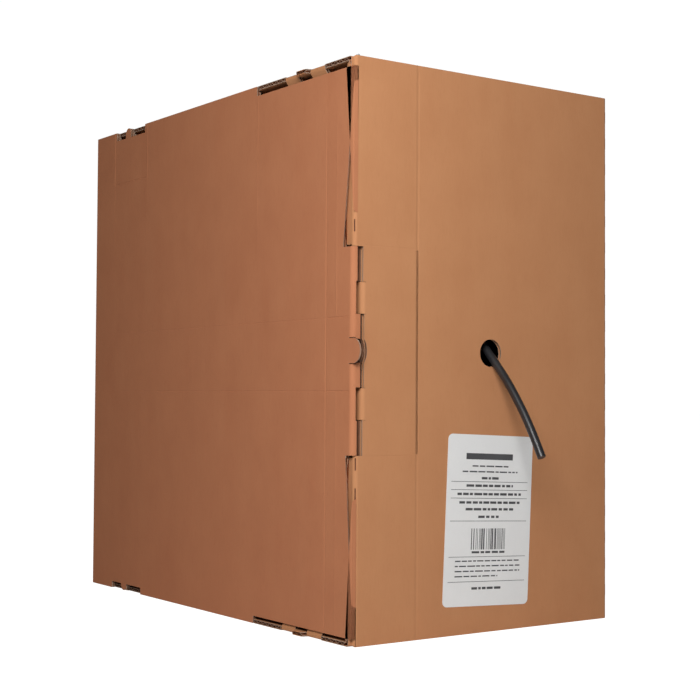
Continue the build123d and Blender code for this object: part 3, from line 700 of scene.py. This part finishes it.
    def cut(self, walls: Solid) -> None:
        """Cuts the side flap's outline, the lock opening, the cable hole and the creases."""
        flap = (TUCK_X - BEYOND, TUCK_X + BOARD + BEYOND)
        strip, full = FRONT + self.strip, FRONT + self.flap_depth
        behind = FRONT + BOARD + 0.05
        waste = [(FRONT + 0.8, -BEYOND), (FRONT + 0.8, 0.1), (strip, self.chamfer), (strip, self.step),
                 (full, self.step + self.slant), (full + BEYOND, self.step + self.slant),
                 (full + BEYOND, -BEYOND)]
        DIE.cut(walls, [(waste, Axis.X, flap), ([(y, HEIGHT - z) for y, z in waste], Axis.X, flap)])
        low, high = LOCK_LOW - self.window_spare, LOCK_HIGH + self.window_spare
        edge, pocket = FRONT + self.window, FRONT + self.pocket
        window = [(behind, low), (edge, low), (edge, 174.0), (pocket, 174.0), (pocket, 224.0), (edge, 224.0),
                  (edge, high), (behind, high)]
        DIE.cut(walls, [(window, Axis.X, flap)])
        DIE.cut(walls, [(box_corners((TUCK_X - BEYOND, SLOT_X), (FRONT - BEYOND, behind + 0.1)), Axis.Z,
                         (LOCK_LOW, LOCK_HIGH))])
        for zone, root in ((FINGERS[0], FINGER_ROOT), (FINGERS[1], FINGER_ROOT),
                           (TABS[1], self.middle_root)):
            notch = box_corners((SLOT_X - BEYOND, root), (FRONT - BEYOND, behind + 0.1))
            DIE.cut(walls, [(notch, Axis.Z, (zone[0] - 0.25, zone[1] + 0.25))])
        thumb = arc((SLOT_X - 11.4, LOCK_CENTRE), 15.0, -40, 40, 16)
        DIE.cut(walls, [(thumb, Axis.Y, (FRONT - BEYOND, behind + 0.1))])
        x, z, radius = self.hole
        DIE.cut(walls, [(arc((x, z), radius, 0, 352.5, 47), Axis.Y, (FRONT - BEYOND, behind))])
        seam = BACK - BOARD + 0.05
        mitres = [([(RIGHT - BOARD - 0.1, z0), (RIGHT + 0.1, z0), (RIGHT - BOARD - 0.1, z0 + rise_to)],
                   Axis.Y, (-seam, seam)) for z0, rise_to in ((-0.1, 3.3), (HEIGHT + 0.1, -3.3))]
        DIE.cut(walls, mitres)

    def add_dashes(self, walls: Solid) -> None:
        """Marks the perforations along the vertical creases with thin dark plates: the slits are real, and their
        dark colour is painted shadow.
        """
        lift = self.fold * (math.sqrt(2) - 1) / math.sqrt(2)
        corners = ((TUCK_X, FRONT, 1, 1), (RIGHT, FRONT, -1, 1), (RIGHT, BACK, -1, -1),
                   (LEFT, BACK, 1, -1))
        for x, y, way_x, way_y in corners:
            at_lock = x < 0 < way_x * way_y
            along = Vector((way_x, -way_y)) * self.slit / 2 / math.sqrt(2)
            deep = Vector((way_x, way_y)) * self.slit_depth
            z = self.first_dash
            while z > 0:
                out = self.fold_out(z) if at_lock else 0.0
                middle = Vector((x - out + way_x * lift, y + way_y * lift))
                plan = [tuple(middle - along - deep), tuple(middle + along - deep), tuple(middle + along + deep),
                        tuple(middle - along + deep)]
                if not at_lock or not LOCK_LOW - self.dash < z < LOCK_HIGH + 1:
                    add_prism(walls.bm, plan, Axis.Z, (z, z + self.dash), Layer.SLIT_SHADOW)
                z -= self.dash_period


@dataclass
class LockFingers:
    """The front panel's two curled fingers between the lid's tabs."""

    bend: float = 3.2
    lead: float = 0.4
    reach: float = 18.0

    def build(self, finishes: Finishes) -> bpy.types.Object:
        """Makes both fingers as one piece."""
        fingers = Solid("lock_fingers")
        stock = BOARD_STOCK
        centre = (FINGER_ROOT - self.lead, FRONT + self.bend)
        side = centre[0] - self.bend
        lines = []
        for depth in (0.0, stock.thickness / 2, stock.thickness):
            lines.append([(FINGER_ROOT - 0.01, FRONT + depth)] + arc(centre, self.bend - depth, 270, 180, 8)
                         + [(side + depth, FRONT + self.reach)])
        for low, high in FINGERS:
            add_sheet(fingers.bm, lines[0], Axis.Z, (low, high), stock.liner, Layer.LINER)
            add_sheet(fingers.bm, lines[1], Axis.Z, (low + 0.05, high - 0.05), stock.medium, Layer.MEDIUM_AND_DIVE_SHADE)
            add_sheet(fingers.bm, lines[2], Axis.Z, (low, high), -stock.liner, Layer.LINER)
        return fingers.finish("root", "kraft_board", [finishes.walls, finishes.cut, finishes.medium])


# ---- Lid ----------------------------------------------------------------------------------------


@dataclass
class Lid:
    """Left side panel with its notches, wrapped tabs and half-round pull tongue."""

    edge_upper: Point2 = (11.4, 9.8)
    edge_lower: Point2 = (6.9, 7.4)
    bend: float = 3.4
    reach: float = 54.0
    finger_cover: float = -0.2  # setback of the lid's edge at the fingers
    pull_radius: float = 8.5
    pull_cut: float = 0.55
    pull_stand: float = 0.5
    pull_inset: float = 0.03
    tab_root: float = 3.5
    notch_front: float = 125.4
    notch_top: float = 7.3
    notch_bottom: float = 5.5
    notch_rear: Point2 = (39.5, 93.5)
    tongue: Point2 = (57.1, 67.1)
    rise: float = 0.98
    crush: Point2 = (9.5, 15.0)
    crush_share: float = 0.75
    late_dive: float = 2.6  # how much further round the middle tab runs before it dives
    pull_thick: float = 1.0
    creases: tuple[tuple, ...] = (((-169.5, 172.5), (-169.5, 221.5), 2.4, 0.35),
                                  ((-168.0, 171.8), (-197.0, 171.8), 1.2, 0.25),
                                  ((-168.0, 222.2), (-197.0, 222.2), 1.2, 0.25),
                                  ((-181.5, 223.5), (-181.5, 262.0), 1.8, -0.22),
                                  ((-181.5, 138.0), (-181.5, 170.5), 1.8, -0.22),
                                  ((-77.0, 300.0), (-77.0, 391.0), 1.8, -0.2),
                                  ((103.0, 356.0), (103.0, 399.0), 2.0, -0.3),
                                  ((165.0, 356.0), (165.0, 399.0), 2.0, -0.3),
                                  ((104.5, 354.0), (163.5, 354.0), 1.2, 0.35))

    def tab_line(self, depth: float) -> list[Point2]:
        """Plan line of the tabs and the lid at a depth below the outer face."""
        swing = BACK - (FRONT + BOARD) - 0.2 - depth
        dive_reach = SLOT_X - 1.3 - LEFT
        dive = Vector((LEFT + dive_reach, BACK - math.sqrt(swing ** 2 - dive_reach ** 2)))
        tip = Vector((LEFT + self.reach, BACK - math.sqrt(swing ** 2 - self.reach ** 2)))
        if depth:
            dive.x -= 0.4 * depth
        line = [tuple(tip), tuple(dive)]
        if depth < self.bend:
            turn = arc((LEFT + self.bend, FRONT + self.bend), self.bend - depth, 270, 180, 6)
            line += [(turn[0][0] + 0.6, turn[0][1])] + turn
        line.append((LEFT + depth, BACK - HINGE_GAP - depth))
        return line

    def build(self, finishes: Finishes) -> bpy.types.Object:
        """Makes the lid with its tabs and cuts it."""
        lid = Solid("lid")
        stock = BOARD_STOCK
        up = (0.0, HEIGHT + self.rise)
        add_sheet(lid.bm, self.tab_line(0.0), Axis.Z, up, stock.liner, Layer.LINER)
        add_sheet(lid.bm, self.tab_line(stock.thickness), Axis.Z, up, -stock.liner, Layer.LINER)
        wave = [(LEFT + d, FRONT + s) for s, d in stock.wave(self.bend, DEPTH - BOARD - HINGE_GAP)]
        add_sheet(lid.bm, wave, Axis.Z, up, -stock.medium, Layer.MEDIUM_AND_DIVE_SHADE)
        middle = self.tab_line(stock.thickness / 2)[:-1]
        add_sheet(lid.bm, middle, Axis.Z, up, stock.medium, Layer.MEDIUM_AND_DIVE_SHADE)
        for start, end, width, rise in self.creases:
            press_bead(lid.bm, (Axis.X, LEFT), (start, end), width, rise)
        self.cut_front(lid)
        self.cut_edges(lid)
        self.crush_edge(lid)
        self.paint_dive_shade(lid)
        self.delay_dive(lid)
        self.add_pull(lid)
        piece = lid.finish("lid", "kraft_board", [finishes.lid, finishes.cut, finishes.medium])
        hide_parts("lid_panel", "lid_lock_tabs")
        return piece

    def front_edge(self, z: float) -> float:
        """Y of the slanted free edge at a height."""
        if z > LOCK_CENTRE:
            start, end = self.edge_upper
            share = (z - LOCK_HIGH) / (HEIGHT - self.notch_top - LOCK_HIGH)
        else:
            start, end = self.edge_lower
            share = (z - self.notch_bottom) / (LOCK_LOW - self.notch_bottom)
        return FRONT + start + (end - start) * share

    def crush_edge(self, lid: Solid) -> None:
        """Presses the free edge above and below the tabs thin, as the die leaves it."""
        for out in (self.crush[0], sum(self.crush) / 2, self.crush[1]):
            bmesh.ops.bisect_plane(lid.bm, geom=[*lid.bm.verts, *lid.bm.edges, *lid.bm.faces],
                                   plane_co=(0, FRONT + out, 0), plane_no=(0, 1, 0), dist=SNAP)
        for vert in lid.bm.verts:
            depth = vert.co.x - LEFT
            if TABS[0][0] - 0.1 < vert.co.z < TABS[2][1] + 0.1 or depth > BOARD + 0.1:
                continue
            share = 1 - ease(vert.co.y - FRONT, self.crush[0], self.crush[1])
            vert.co.x -= depth * self.crush_share * share

    def paint_dive_shade(self, lid: Solid) -> None:
        """Paints shade on the part of each tab that dives behind the front panel, using the fluted medium's darker
        colour.
        """
        for face in lid.bm.faces:
            middle = face.calc_center_median()
            if middle.x > LEFT + self.bend + 0.7 and middle.y < FRONT + 20 and face.material_index == Layer.LINER:
                # painted shade: the diving liner takes the fluted medium's dark brown
                face.material_index = Layer.MEDIUM_AND_DIVE_SHADE

    def delay_dive(self, lid: Solid) -> None:
        """Carries the middle tab further round before it dives behind the front panel."""
        for vert in lid.bm.verts:
            beside = TABS[1][0] - 0.1 < vert.co.z < TABS[1][1] + 0.1
            if beside and vert.co.y < FRONT + 20 and vert.co.x > LEFT + self.bend + 0.3:
                vert.co.x += self.late_dive

    def waste_plan(self, edge: float) -> list[Point2]:
        """Plan of what is cut away in front of an edge and where the tabs dive."""
        return [(LEFT - BEYOND, FRONT - 2), (LEFT + self.reach + 3, FRONT - 2),
                (LEFT + self.reach + 3, FRONT + 13), (LID_CLEAR, FRONT + 13), (LID_CLEAR, edge),
                (LEFT - BEYOND, edge)]

    def cut_front(self, lid: Solid) -> None:
        """Cuts the free edge, the gaps for the fingers and the round the pull tongue."""
        zones = []
        for low, high in ((-BEYOND, TABS[0][0]), (TABS[2][1], HEIGHT + 3)):
            zones.append((self.waste_plan(self.front_edge(low)), Axis.Z, (low, high),
                          self.waste_plan(self.front_edge(high))))
        for low, high in ((TABS[0][1], TABS[1][0]), (TABS[1][1], TABS[2][0])):
            zones.append((self.waste_plan(FRONT + self.finger_cover), Axis.Z, (low, high)))
        DIE.cut(lid, zones)
        radius = self.pull_radius + self.pull_cut
        centre = (FRONT - self.pull_stand, LOCK_CENTRE)
        root = FRONT + self.tab_root
        ring = arc(centre, radius, -90, -270, 24) + [(root, LOCK_CENTRE + radius), (root, LOCK_CENTRE - radius)]
        DIE.cut(lid, [(ring, Axis.X, (LEFT - BEYOND, LEFT + BOARD + 0.05))])
        DIE.cut(lid, [(arc((LEFT, LOCK_CENTRE), radius, 0, 350, 35), Axis.Y, (FRONT - BEYOND, FRONT + BOARD + 1))])

    def cut_edges(self, lid: Solid) -> None:
        """Cuts the notches and trims the top to the tongue."""
        across = (LEFT - BEYOND, LEFT + BOARD + BEYOND)
        notch = FRONT + self.notch_front
        far, near = BACK - self.notch_rear[1], BACK - self.notch_rear[0]
        left, right = BACK - self.tongue[1], BACK - self.tongue[0]
        middle, radius = (left + right) / 2, (right - left) / 2
        for edge, sign, depth, rise in ((HEIGHT, 1, self.notch_top, self.rise), (0.0, -1, self.notch_bottom, 0.0)):
            floor = edge - sign * depth
            tip = edge + sign * rise
            start, end = (180, 0) if sign > 0 else (-180, 0)
            tongue = arc((middle, tip - sign * radius), radius, start, end, 12)
            out = edge + sign * 3
            outline = [(FRONT - 2, out), (FRONT - 2, floor), (notch, floor), (notch, edge), (far, edge),
                       (far, floor), (left, floor), *tongue, (right, floor), (near, floor), (near, edge),
                       (BACK + 1, edge), (BACK + 1, out)]
            DIE.cut(lid, [(outline, Axis.X, across)])

    def add_pull(self, lid: Solid) -> None:
        """Adds the half-round pull tongue in the lid's own plane."""
        pull = Solid("pull_tongue")
        stock = BOARD_STOCK
        reach = (FRONT - self.pull_radius - 3, FRONT + self.tab_root + 6)
        outer, inner = LEFT + self.pull_inset, LEFT + self.pull_thick
        add_sheet(pull.bm, [(outer, reach[0]), (outer, reach[1])], Axis.Z, (180, 218), stock.liner, Layer.LINER)
        add_sheet(pull.bm, [(inner, reach[0]), (inner, reach[1])], Axis.Z, (180, 218), -stock.liner, Layer.LINER)
        centre = (FRONT - self.pull_stand, LOCK_CENTRE)
        root = FRONT + self.tab_root + 4
        shape = arc(centre, self.pull_radius, -90, -270, 24)
        shape += [(root, LOCK_CENTRE + self.pull_radius), (root, LOCK_CENTRE - self.pull_radius)]
        DIE.cut(pull, [(shape, Axis.X, (LEFT - BEYOND, LEFT + BOARD + BEYOND))], keep=True)
        pull.join_to(lid)


# ---- Top and bottom -------------------------------------------------------------------------------


@dataclass
class EndBoard:
    """Top of the carton, or by reflection its bottom: panel, tuck flaps and dust flaps."""

    name: str
    body: str
    below: bool = False
    side: float = BACK - BOARD - 0.3
    dust_depth: float = 60.0
    fold: float = 1.8
    tongue: Point2 = (54.6, 68.9)
    tongue_out: float = 3.0
    tongue_corner: float = 2.5
    flush: float = LEFT + 0.3
    flush_end: float = FRONT + 124.8
    tuck_depth: float = 42.0
    lean: float = 5.2
    dive: float = 7.9
    shoulder: float = 8.6
    tip_corner: float = 8.0
    hold_flange: float = 5.0
    front_tuck: Point2 = (11.5, 124.0)
    front_holds: tuple[Point2, ...] = ((35.7, 54.0), (69.5, 86.5))
    rear_tuck: Point2 = (36.0, 98.0)
    rear_holds: tuple[Point2, ...] = ((36.0, 39.0), (57.0, 67.0), (94.5, 98.0))

    def tucks(self) -> list[tuple[Point2, list[Point2]]]:
        """Span along Y and holds of each tuck flap."""
        front = (FRONT + self.front_tuck[0], FRONT + self.front_tuck[1])
        rear = (BACK - self.rear_tuck[1], BACK - self.rear_tuck[0])
        return [(front, [(FRONT + a, FRONT + b) for a, b in self.front_holds]),
                (rear, [(BACK - b, BACK - a) for a, b in reversed(self.rear_holds)])]

    def build(self, finishes: Finishes) -> bpy.types.Object:
        """Makes the panel with its flaps and cuts it.

        Args:
            finishes: the box's finishes.

        Returns:
            The board's object.
        """
        board = Solid(f"{self.name}_board")
        self.add_panel(board)
        self.cut_panel(board)
        for span, holds in self.tucks():
            self.add_tuck(board, span, holds)
        if self.below:
            bmesh.ops.scale(board.bm, vec=(1, 1, -1), verts=board.bm.verts)
            bmesh.ops.translate(board.bm, vec=(0, 0, HEIGHT), verts=board.bm.verts)
            bmesh.ops.reverse_faces(board.bm, faces=board.bm.faces)
        piece = board.finish(self.body, "kraft_board", [finishes.tops, finishes.cut, finishes.medium])
        flaps = ("panel", "front_tuck_flap", "rear_tuck_flap", "front_dust_flap", "rear_dust_flap")
        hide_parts(*(f"{self.name}_{flap}" for flap in flaps))
        return piece

    def add_panel(self, board: Solid) -> None:
        """Adds the panel and its dust flaps, with flutes along X."""
        stock = BOARD_STOCK
        side, r = self.side, self.fold
        tip = HEIGHT - self.dust_depth
        span = (LEFT - self.tongue_out, RIGHT - HINGE_GAP)
        outer = [(-side, tip)] + arc((-side + r, HEIGHT - r), r, 180, 90, 5)
        outer += arc((side - r, HEIGHT - r), r, 90, 0, 5) + [(side, tip)]
        inside = side - BOARD
        inner = [(-inside, tip), (-inside, HEIGHT - BOARD), (inside, HEIGHT - BOARD), (inside, tip)]
        add_sheet(board.bm, outer, Axis.X, span, stock.liner, Layer.LINER)
        add_sheet(board.bm, inner, Axis.X, span, -stock.liner, Layer.LINER)
        waves = [[(-side + s, HEIGHT - d) for s, d in stock.wave(BOARD, 2 * side - BOARD)]]
        for sign in (-1, 1):
            waves.append([(sign * (side - d), HEIGHT - s) for s, d in stock.wave(BOARD, self.dust_depth)])
        for wave in waves:
            add_sheet(board.bm, wave, Axis.X, span, stock.medium, Layer.MEDIUM_AND_DIVE_SHADE)

    def cut_panel(self, board: Solid) -> None:
        """Cuts the tongue, the dust flaps' tapers, the crease's mitre and room for the holds."""
        start, end = FRONT + self.tongue[0], FRONT + self.tongue[1]
        out, r = LEFT - self.tongue_out, self.tongue_corner
        far, wide = out - BEYOND, self.side + BEYOND
        deep = (HEIGHT - self.dust_depth - BEYOND, HEIGHT + BEYOND)
        front_waste = [(far, -wide), (self.flush, -wide), (self.flush, start),
                       *arc((out + r, start + r), r, 270, 180, 6), (far, start + r)]
        rear_waste = [(far, end - r), *arc((out + r, end - r), r, 180, 90, 6), (self.flush, end),
                      (self.flush, self.flush_end), (TUCK_X, self.flush_end), (TUCK_X, wide), (far, wide)]
        DIE.cut(board, [(front_waste, Axis.Z, deep)])
        DIE.cut(board, [(rear_waste, Axis.Z, deep)])
        low, high = deep[0], HEIGHT - BOARD
        left = [(TUCK_X - BEYOND, low), (LEFT + 18.0, low), (LEFT + 9.9, high), (TUCK_X - BEYOND, high)]
        right = [(RIGHT - 9.0, low), (RIGHT + BEYOND, low), (RIGHT + BEYOND, high), (RIGHT - 4.25, high)]
        for taper in (left, right):
            inside = self.side - BOARD - 0.05
            DIE.cut(board, [(taper, Axis.Y, (-wide, -inside)), (taper, Axis.Y, (inside, wide))])
        hinge = RIGHT - HINGE_GAP
        mitre = [(hinge - BOARD - 0.1, high - 0.1), (hinge + BEYOND, high - 0.1), (hinge + BEYOND, HEIGHT + 0.9)]
        DIE.cut(board, [(mitre, Axis.Y, (-wide, wide))])
        rooms = [(box_corners((LEFT - BEYOND, TUCK_X + self.hold_flange), hold), Axis.Z, (high - 1, HEIGHT + 1))
                 for _, holds in self.tucks() for hold in holds]
        DIE.cut(board, rooms)

    def add_tuck(self, board: Solid, span: Point2, holds: list[Point2]) -> None:
        """Adds one leaning tuck flap with its rounded folds at the holds.

        Args:
            board: the board that the flap joins.
            span: the flap's start and end along Y.
            holds: where it is joined to the panel.
        """
        stock = BOARD_STOCK
        flap = Solid("tuck_flap")
        angle = math.radians(self.lean)
        down, across = (math.sin(angle), -math.cos(angle)), (math.cos(angle), math.sin(angle))
        outer_bend = ((-118.9, 396.0), (-119.6, 398.0), (-119.35, 399.2), (-118.4, 399.9), (-117.2, 400.0))
        middle_bend = ((-117.6, 397.2), (-117.4, 398.3), (-116.8, 398.65))
        inner_bend = ((-116.5, 396.7), (-116.2, 397.0))
        layers = ((0.0, -stock.liner, Layer.LINER, outer_bend), (1.35, -stock.medium, Layer.MEDIUM_AND_DIVE_SHADE, middle_bend),
                  (BOARD, stock.liner, Layer.LINER, inner_bend))
        for depth, thick, index, bend in layers:
            line = [(TUCK_X + length * down[0] + depth * across[0],
                     HEIGHT + length * down[1] + depth * across[1])
                    for length in (self.tuck_depth, self.dive)]
            line += [*bend, (TUCK_X + self.hold_flange, HEIGHT - depth)]
            add_sheet(flap.bm, line, Axis.Y, span, thick, index)
        room = (LEFT - BEYOND, TUCK_X + self.hold_flange + 2)
        marks = [span[0] - BEYOND] + [y for hold in holds for y in hold] + [span[1] + BEYOND]
        gaps = [(low, high) for low, high in zip(marks[0::2], marks[1::2]) if high - low > 1.5]
        DIE.cut(flap, [(box_corners(room, gap), Axis.Z, (HEIGHT - self.shoulder, HEIGHT + 1)) for gap in gaps])
        r, low = self.tip_corner, HEIGHT - self.tuck_depth * math.cos(angle) - 1
        base = low + 1
        corners = []
        for edge, sign in ((span[0], 1), (span[1], -1)):
            turn = arc((edge + sign * r, base + r), r, 270, 180 if sign > 0 else 360, 6)
            corners.append(([(edge - sign * BEYOND, low - 1), *[(turn[0][0], low - 1)], *turn,
                             (edge - sign * BEYOND, base + r)], Axis.X, (TUCK_X - 2, TUCK_X + 12)))
        DIE.cut(flap, corners)
        flap.join_to(board)


# ---- Label --------------------------------------------------------------------------------------


@dataclass
class LabelPrint:
    """Plain rules and bars on the label; they say nothing."""

    centre: Point2 = (1.0, 79.8)
    turn: float = -2.5
    face: float = FRONT - 0.2
    lift: float = 0.04

    def bar(self, bm: bmesh.types.BMesh, u: float, v: float, wide: float, high: float) -> None:
        """Adds one flat bar whose middle is u to the right of and v above the label's middle."""
        seat = Matrix.Translation((self.centre[0], self.face - self.lift, self.centre[1]))
        seat @= Matrix.Rotation(math.radians(-self.turn), 4, "Y") @ Matrix.Translation((u, 0, v))
        seat @= Matrix.Rotation(math.radians(90), 4, "X") @ Matrix.Diagonal((wide, high, 1, 1))
        bmesh.ops.create_grid(bm, x_segments=1, y_segments=1, size=0.5, matrix=seat)

    def words(self, bm: bmesh.types.BMesh, v: float, start: float, end: float, high: float) -> None:
        """Adds a row of short bars of uneven length between start and end."""
        draw = random.Random(round(v * 10))
        u = start
        while u < end:
            wide = min(draw.uniform(2.2, 7.5), end - u)
            if wide > 0.8:
                self.bar(bm, u + wide / 2, v, wide, high)
            u += wide + draw.uniform(0.9, 1.5)

    def build(self, finishes: Finishes) -> bpy.types.Object:
        """Makes the print as one piece of flat bars."""
        sheet = Solid("label_print")
        bm = sheet.bm
        self.bar(bm, -1.0, 45.5, 44.0, 4.4)
        for v, start, end, high in ((38.6, -17, 17, 1.0), (34.6, -26, 26, 1.0), (30.0, -8, 8, 1.7),
                                    (24.6, -22, 22, 1.7), (18.6, -30, 30, 1.7), (12.6, -28, 29, 1.7),
                                    (7.8, -22, 23, 1.7), (2.4, -10, 10, 1.7), (-29.0, -30, 30, 0.9),
                                    (-32.6, -30, 31, 0.9), (-36.2, -30, 31, 0.9), (-39.8, -30, 10, 0.9),
                                    (-48.4, -14, 15, 1.7)):
            self.words(bm, v, start, end, high)
        for v in (27.4, 21.6, 15.6, -0.6, -26.0, -43.6):
            self.bar(bm, 0, v, 72.0, 0.35)
        draw = random.Random(5)
        u = -15.5
        while u < 16.0:
            wide = draw.choice((0.45, 0.45, 0.8, 1.2))
            self.bar(bm, u, -13.4, wide, 15.0)
            u += wide + draw.choice((0.6, 0.9, 1.3))
        self.words(bm, -22.8, -15.0, 16.0, 1.5)
        return sheet.finish("root", "label_paper", [finishes.print_ink])


# ---- Reel ---------------------------------------------------------------------------------------


@dataclass
class Winding:
    """The outermost turns of cable between the flanges, as one ribbed ring."""

    left: float = -87.8
    length: float = 183.8
    radius: float = 159.5
    core: float = 75.0
    turns: int = 30
    steps: int = 96

    def build(self, finishes: Finishes) -> bpy.types.Object:
        """Makes the ring by turning its ribbed profile round the axle."""
        ring = Solid("wound_cable")
        draw = random.Random(11)
        pitch = self.length / self.turns
        profile = [(self.left, self.core), (self.left, self.radius - 3.4)]
        for turn in range(self.turns):
            middle = self.left + (turn + 0.5) * pitch
            drop = draw.uniform(0.0, 0.7)
            for angle in (150, 120, 90, 60, 30):
                way = math.radians(angle)
                profile.append((middle + 3.0 * math.cos(way), self.radius - 3.0 - drop + 3.0 * math.sin(way)))
            profile.append((middle + pitch / 2, self.radius - 3.4))
        profile.append((self.left + self.length, self.core))
        bm = ring.bm
        verts = [bm.verts.new((x, 0, AXLE_Z + r)) for x, r in profile]
        edges = [bm.edges.new(pair) for pair in zip(verts, verts[1:] + verts[:1])]
        bmesh.ops.spin(bm, geom=verts + edges, cent=(0, 0, AXLE_Z), axis=(1, 0, 0), angle=2 * math.pi,
                       steps=self.steps, use_merge=True)
        bmesh.ops.remove_doubles(bm, verts=bm.verts, dist=0.001)
        bmesh.ops.recalc_face_normals(bm, faces=bm.faces)
        piece = ring.finish("spool", "cable_jacket", [finishes.jacket], 60.0)
        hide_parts("cable_winding")
        return piece


# ---- Cable --------------------------------------------------------------------------------------


@dataclass
class Cable:
    """The end of the cable that hangs out of the front, cut square."""

    diameter: float = 6.0
    route: tuple[Point3, ...] = ((4.5, -201.0, 195.8), (4.5, -212.6, 184.4), (4.6, -226.0, 168.4),
                                 (4.8, -241.0, 147.4), (5.0, -252.4, 126.6))

    def build(self, finishes: Finishes) -> None:
        """Makes the free end."""
        curve = bpy.data.curves.new("cable_free_end_line", "CURVE")
        curve.dimensions = "3D"
        curve.bevel_depth = self.diameter / 2 * MM
        curve.bevel_resolution = 8
        curve.resolution_u = 24
        curve.use_fill_caps = True
        spline = curve.splines.new("NURBS")
        spline.points.add(len(self.route) - 1)
        for point, place in zip(spline.points, self.route):
            point.co = (*(c * MM for c in place), 1.0)
        spline.order_u = 3
        spline.use_endpoint_u = True
        curve.materials.append(finishes.jacket)
        piece = link(bpy.data.objects.new("cable_end", curve))
        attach(piece, "root")
        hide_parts("cable_free_end")
        LOG.info("cable_end: free cord")


# ---- Studio -------------------------------------------------------------------------------------


@dataclass
class Studio:
    """Camera, floor and lights."""

    eye: Point3 = (-673.93, -983.86, 167.53)
    look: Point3 = (0.57598, 0.81679, 0.03317)
    roll: float = 0.3442
    lens: float = 73.29
    ambient: float = 0.07
    backdrop: float = 0.95

    def build(self) -> None:
        """Makes the camera, the floor, the world and the lights."""
        camera = bpy.data.cameras.new("camera")
        camera.lens, camera.sensor_width, camera.sensor_fit = self.lens, 36.0, "AUTO"
        camera.clip_start, camera.clip_end = 0.05, 50.0
        holder = link(bpy.data.objects.new("camera", camera))
        forward = Vector(self.look).normalized()
        turn = forward.to_track_quat("-Z", "Y").to_matrix() @ Matrix.Rotation(math.radians(self.roll), 3, "Z")
        holder.matrix_world = Matrix.Translation(Vector(self.eye) * MM) @ turn.to_4x4()
        bpy.context.scene.camera = holder
        self.floor()
        self.world()
        self.light("key", (-0.60, -0.75, 0.62), 0.35, 7.6)
        self.light("fill", (-0.4, -2.4, 2.2), 1.8, 3.0)

    def floor(self) -> None:
        """A plain pale floor."""
        bm = bmesh.new()
        bmesh.ops.create_grid(bm, x_segments=1, y_segments=1, size=15.0)
        mesh = bpy.data.meshes.new("floor")
        bm.to_mesh(mesh)
        bm.free()
        material = bpy.data.materials.new("pale_floor")
        material.use_nodes = True
        shader = material.node_tree.nodes["Principled BSDF"]
        shader.inputs["Base Color"].default_value = (0.93, 0.93, 0.93, 1)
        shader.inputs["Roughness"].default_value = 0.9
        shader.inputs["Emission Color"].default_value = (1, 1, 1, 1)
        nodes = Nodes(material.node_tree)
        seen = nodes.add("ShaderNodeLightPath").outputs["Is Camera Ray"]
        nodes.join(nodes.math("MULTIPLY", seen, self.backdrop), shader.inputs["Emission Strength"])
        mesh.materials.append(material)
        floor = link(bpy.data.objects.new("floor", mesh))
        floor.location.z = -0.0005

    def world(self) -> None:
        """An even white surround."""
        world = bpy.data.worlds.new("surround")
        world.use_nodes = True
        back = world.node_tree.nodes["Background"]
        back.inputs["Color"].default_value = (1, 1, 1, 1)
        nodes = Nodes(world.node_tree)
        seen = nodes.add("ShaderNodeLightPath").outputs["Is Camera Ray"]
        nodes.join(nodes.ramp(seen, 0.0, 1.0, self.ambient, 1.02), back.inputs["Strength"])
        bpy.context.scene.world = world

    def light(self, name: str, place: Point3, size: float, power: float) -> None:
        """A square soft light aimed at the carton's middle."""
        lamp = bpy.data.lights.new(name, "AREA")
        lamp.size, lamp.energy = size, power
        holder = link(bpy.data.objects.new(name, lamp))
        holder.location = place
        aim = Vector((0, 0, 0.2)) - Vector(place)
        holder.rotation_mode = "QUATERNION"
        holder.rotation_quaternion = aim.to_track_quat("-Z", "Y")


def dress(node: str, material: bpy.types.Material) -> None:
    """Gives a CAD node a finish."""
    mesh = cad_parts[node].data
    mesh.materials.clear()
    mesh.materials.append(material)


def main() -> None:
    """Builds the box, the reel and the studio."""
    logging.basicConfig(level=logging.INFO, format="%(message)s")
    bpy.context.scene.view_settings.view_transform = "Standard"
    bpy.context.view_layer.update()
    finishes = Finishes()
    Studio().build()
    Cable().build(finishes)
    dress("label", finishes.label)
    for node, finish in (("axle_board_left", finishes.double_wall), ("axle_board_right", finishes.double_wall),
                         ("axle_tube", finishes.card), ("drum_core", finishes.card),
                         ("spool_flange_left", finishes.plywood), ("spool_flange_right", finishes.plywood),
                         ("hub_bush_left", finishes.bush), ("hub_bush_right", finishes.bush),
                         ("tie_rods", finishes.zinc), ("tie_washers", finishes.zinc), ("tie_nuts", finishes.zinc),
                         ("cable_lead", finishes.jacket)):
        dress(node, finish)
    CartonWalls().build(finishes)
    LockFingers().build(finishes)
    Lid().build(finishes)
    EndBoard("top", "top").build(finishes)
    EndBoard("bottom", "bottom", below=True).build(finishes)
    LabelPrint().build(finishes)
    Winding().build(finishes)


if __name__ == "__main__":
    main()
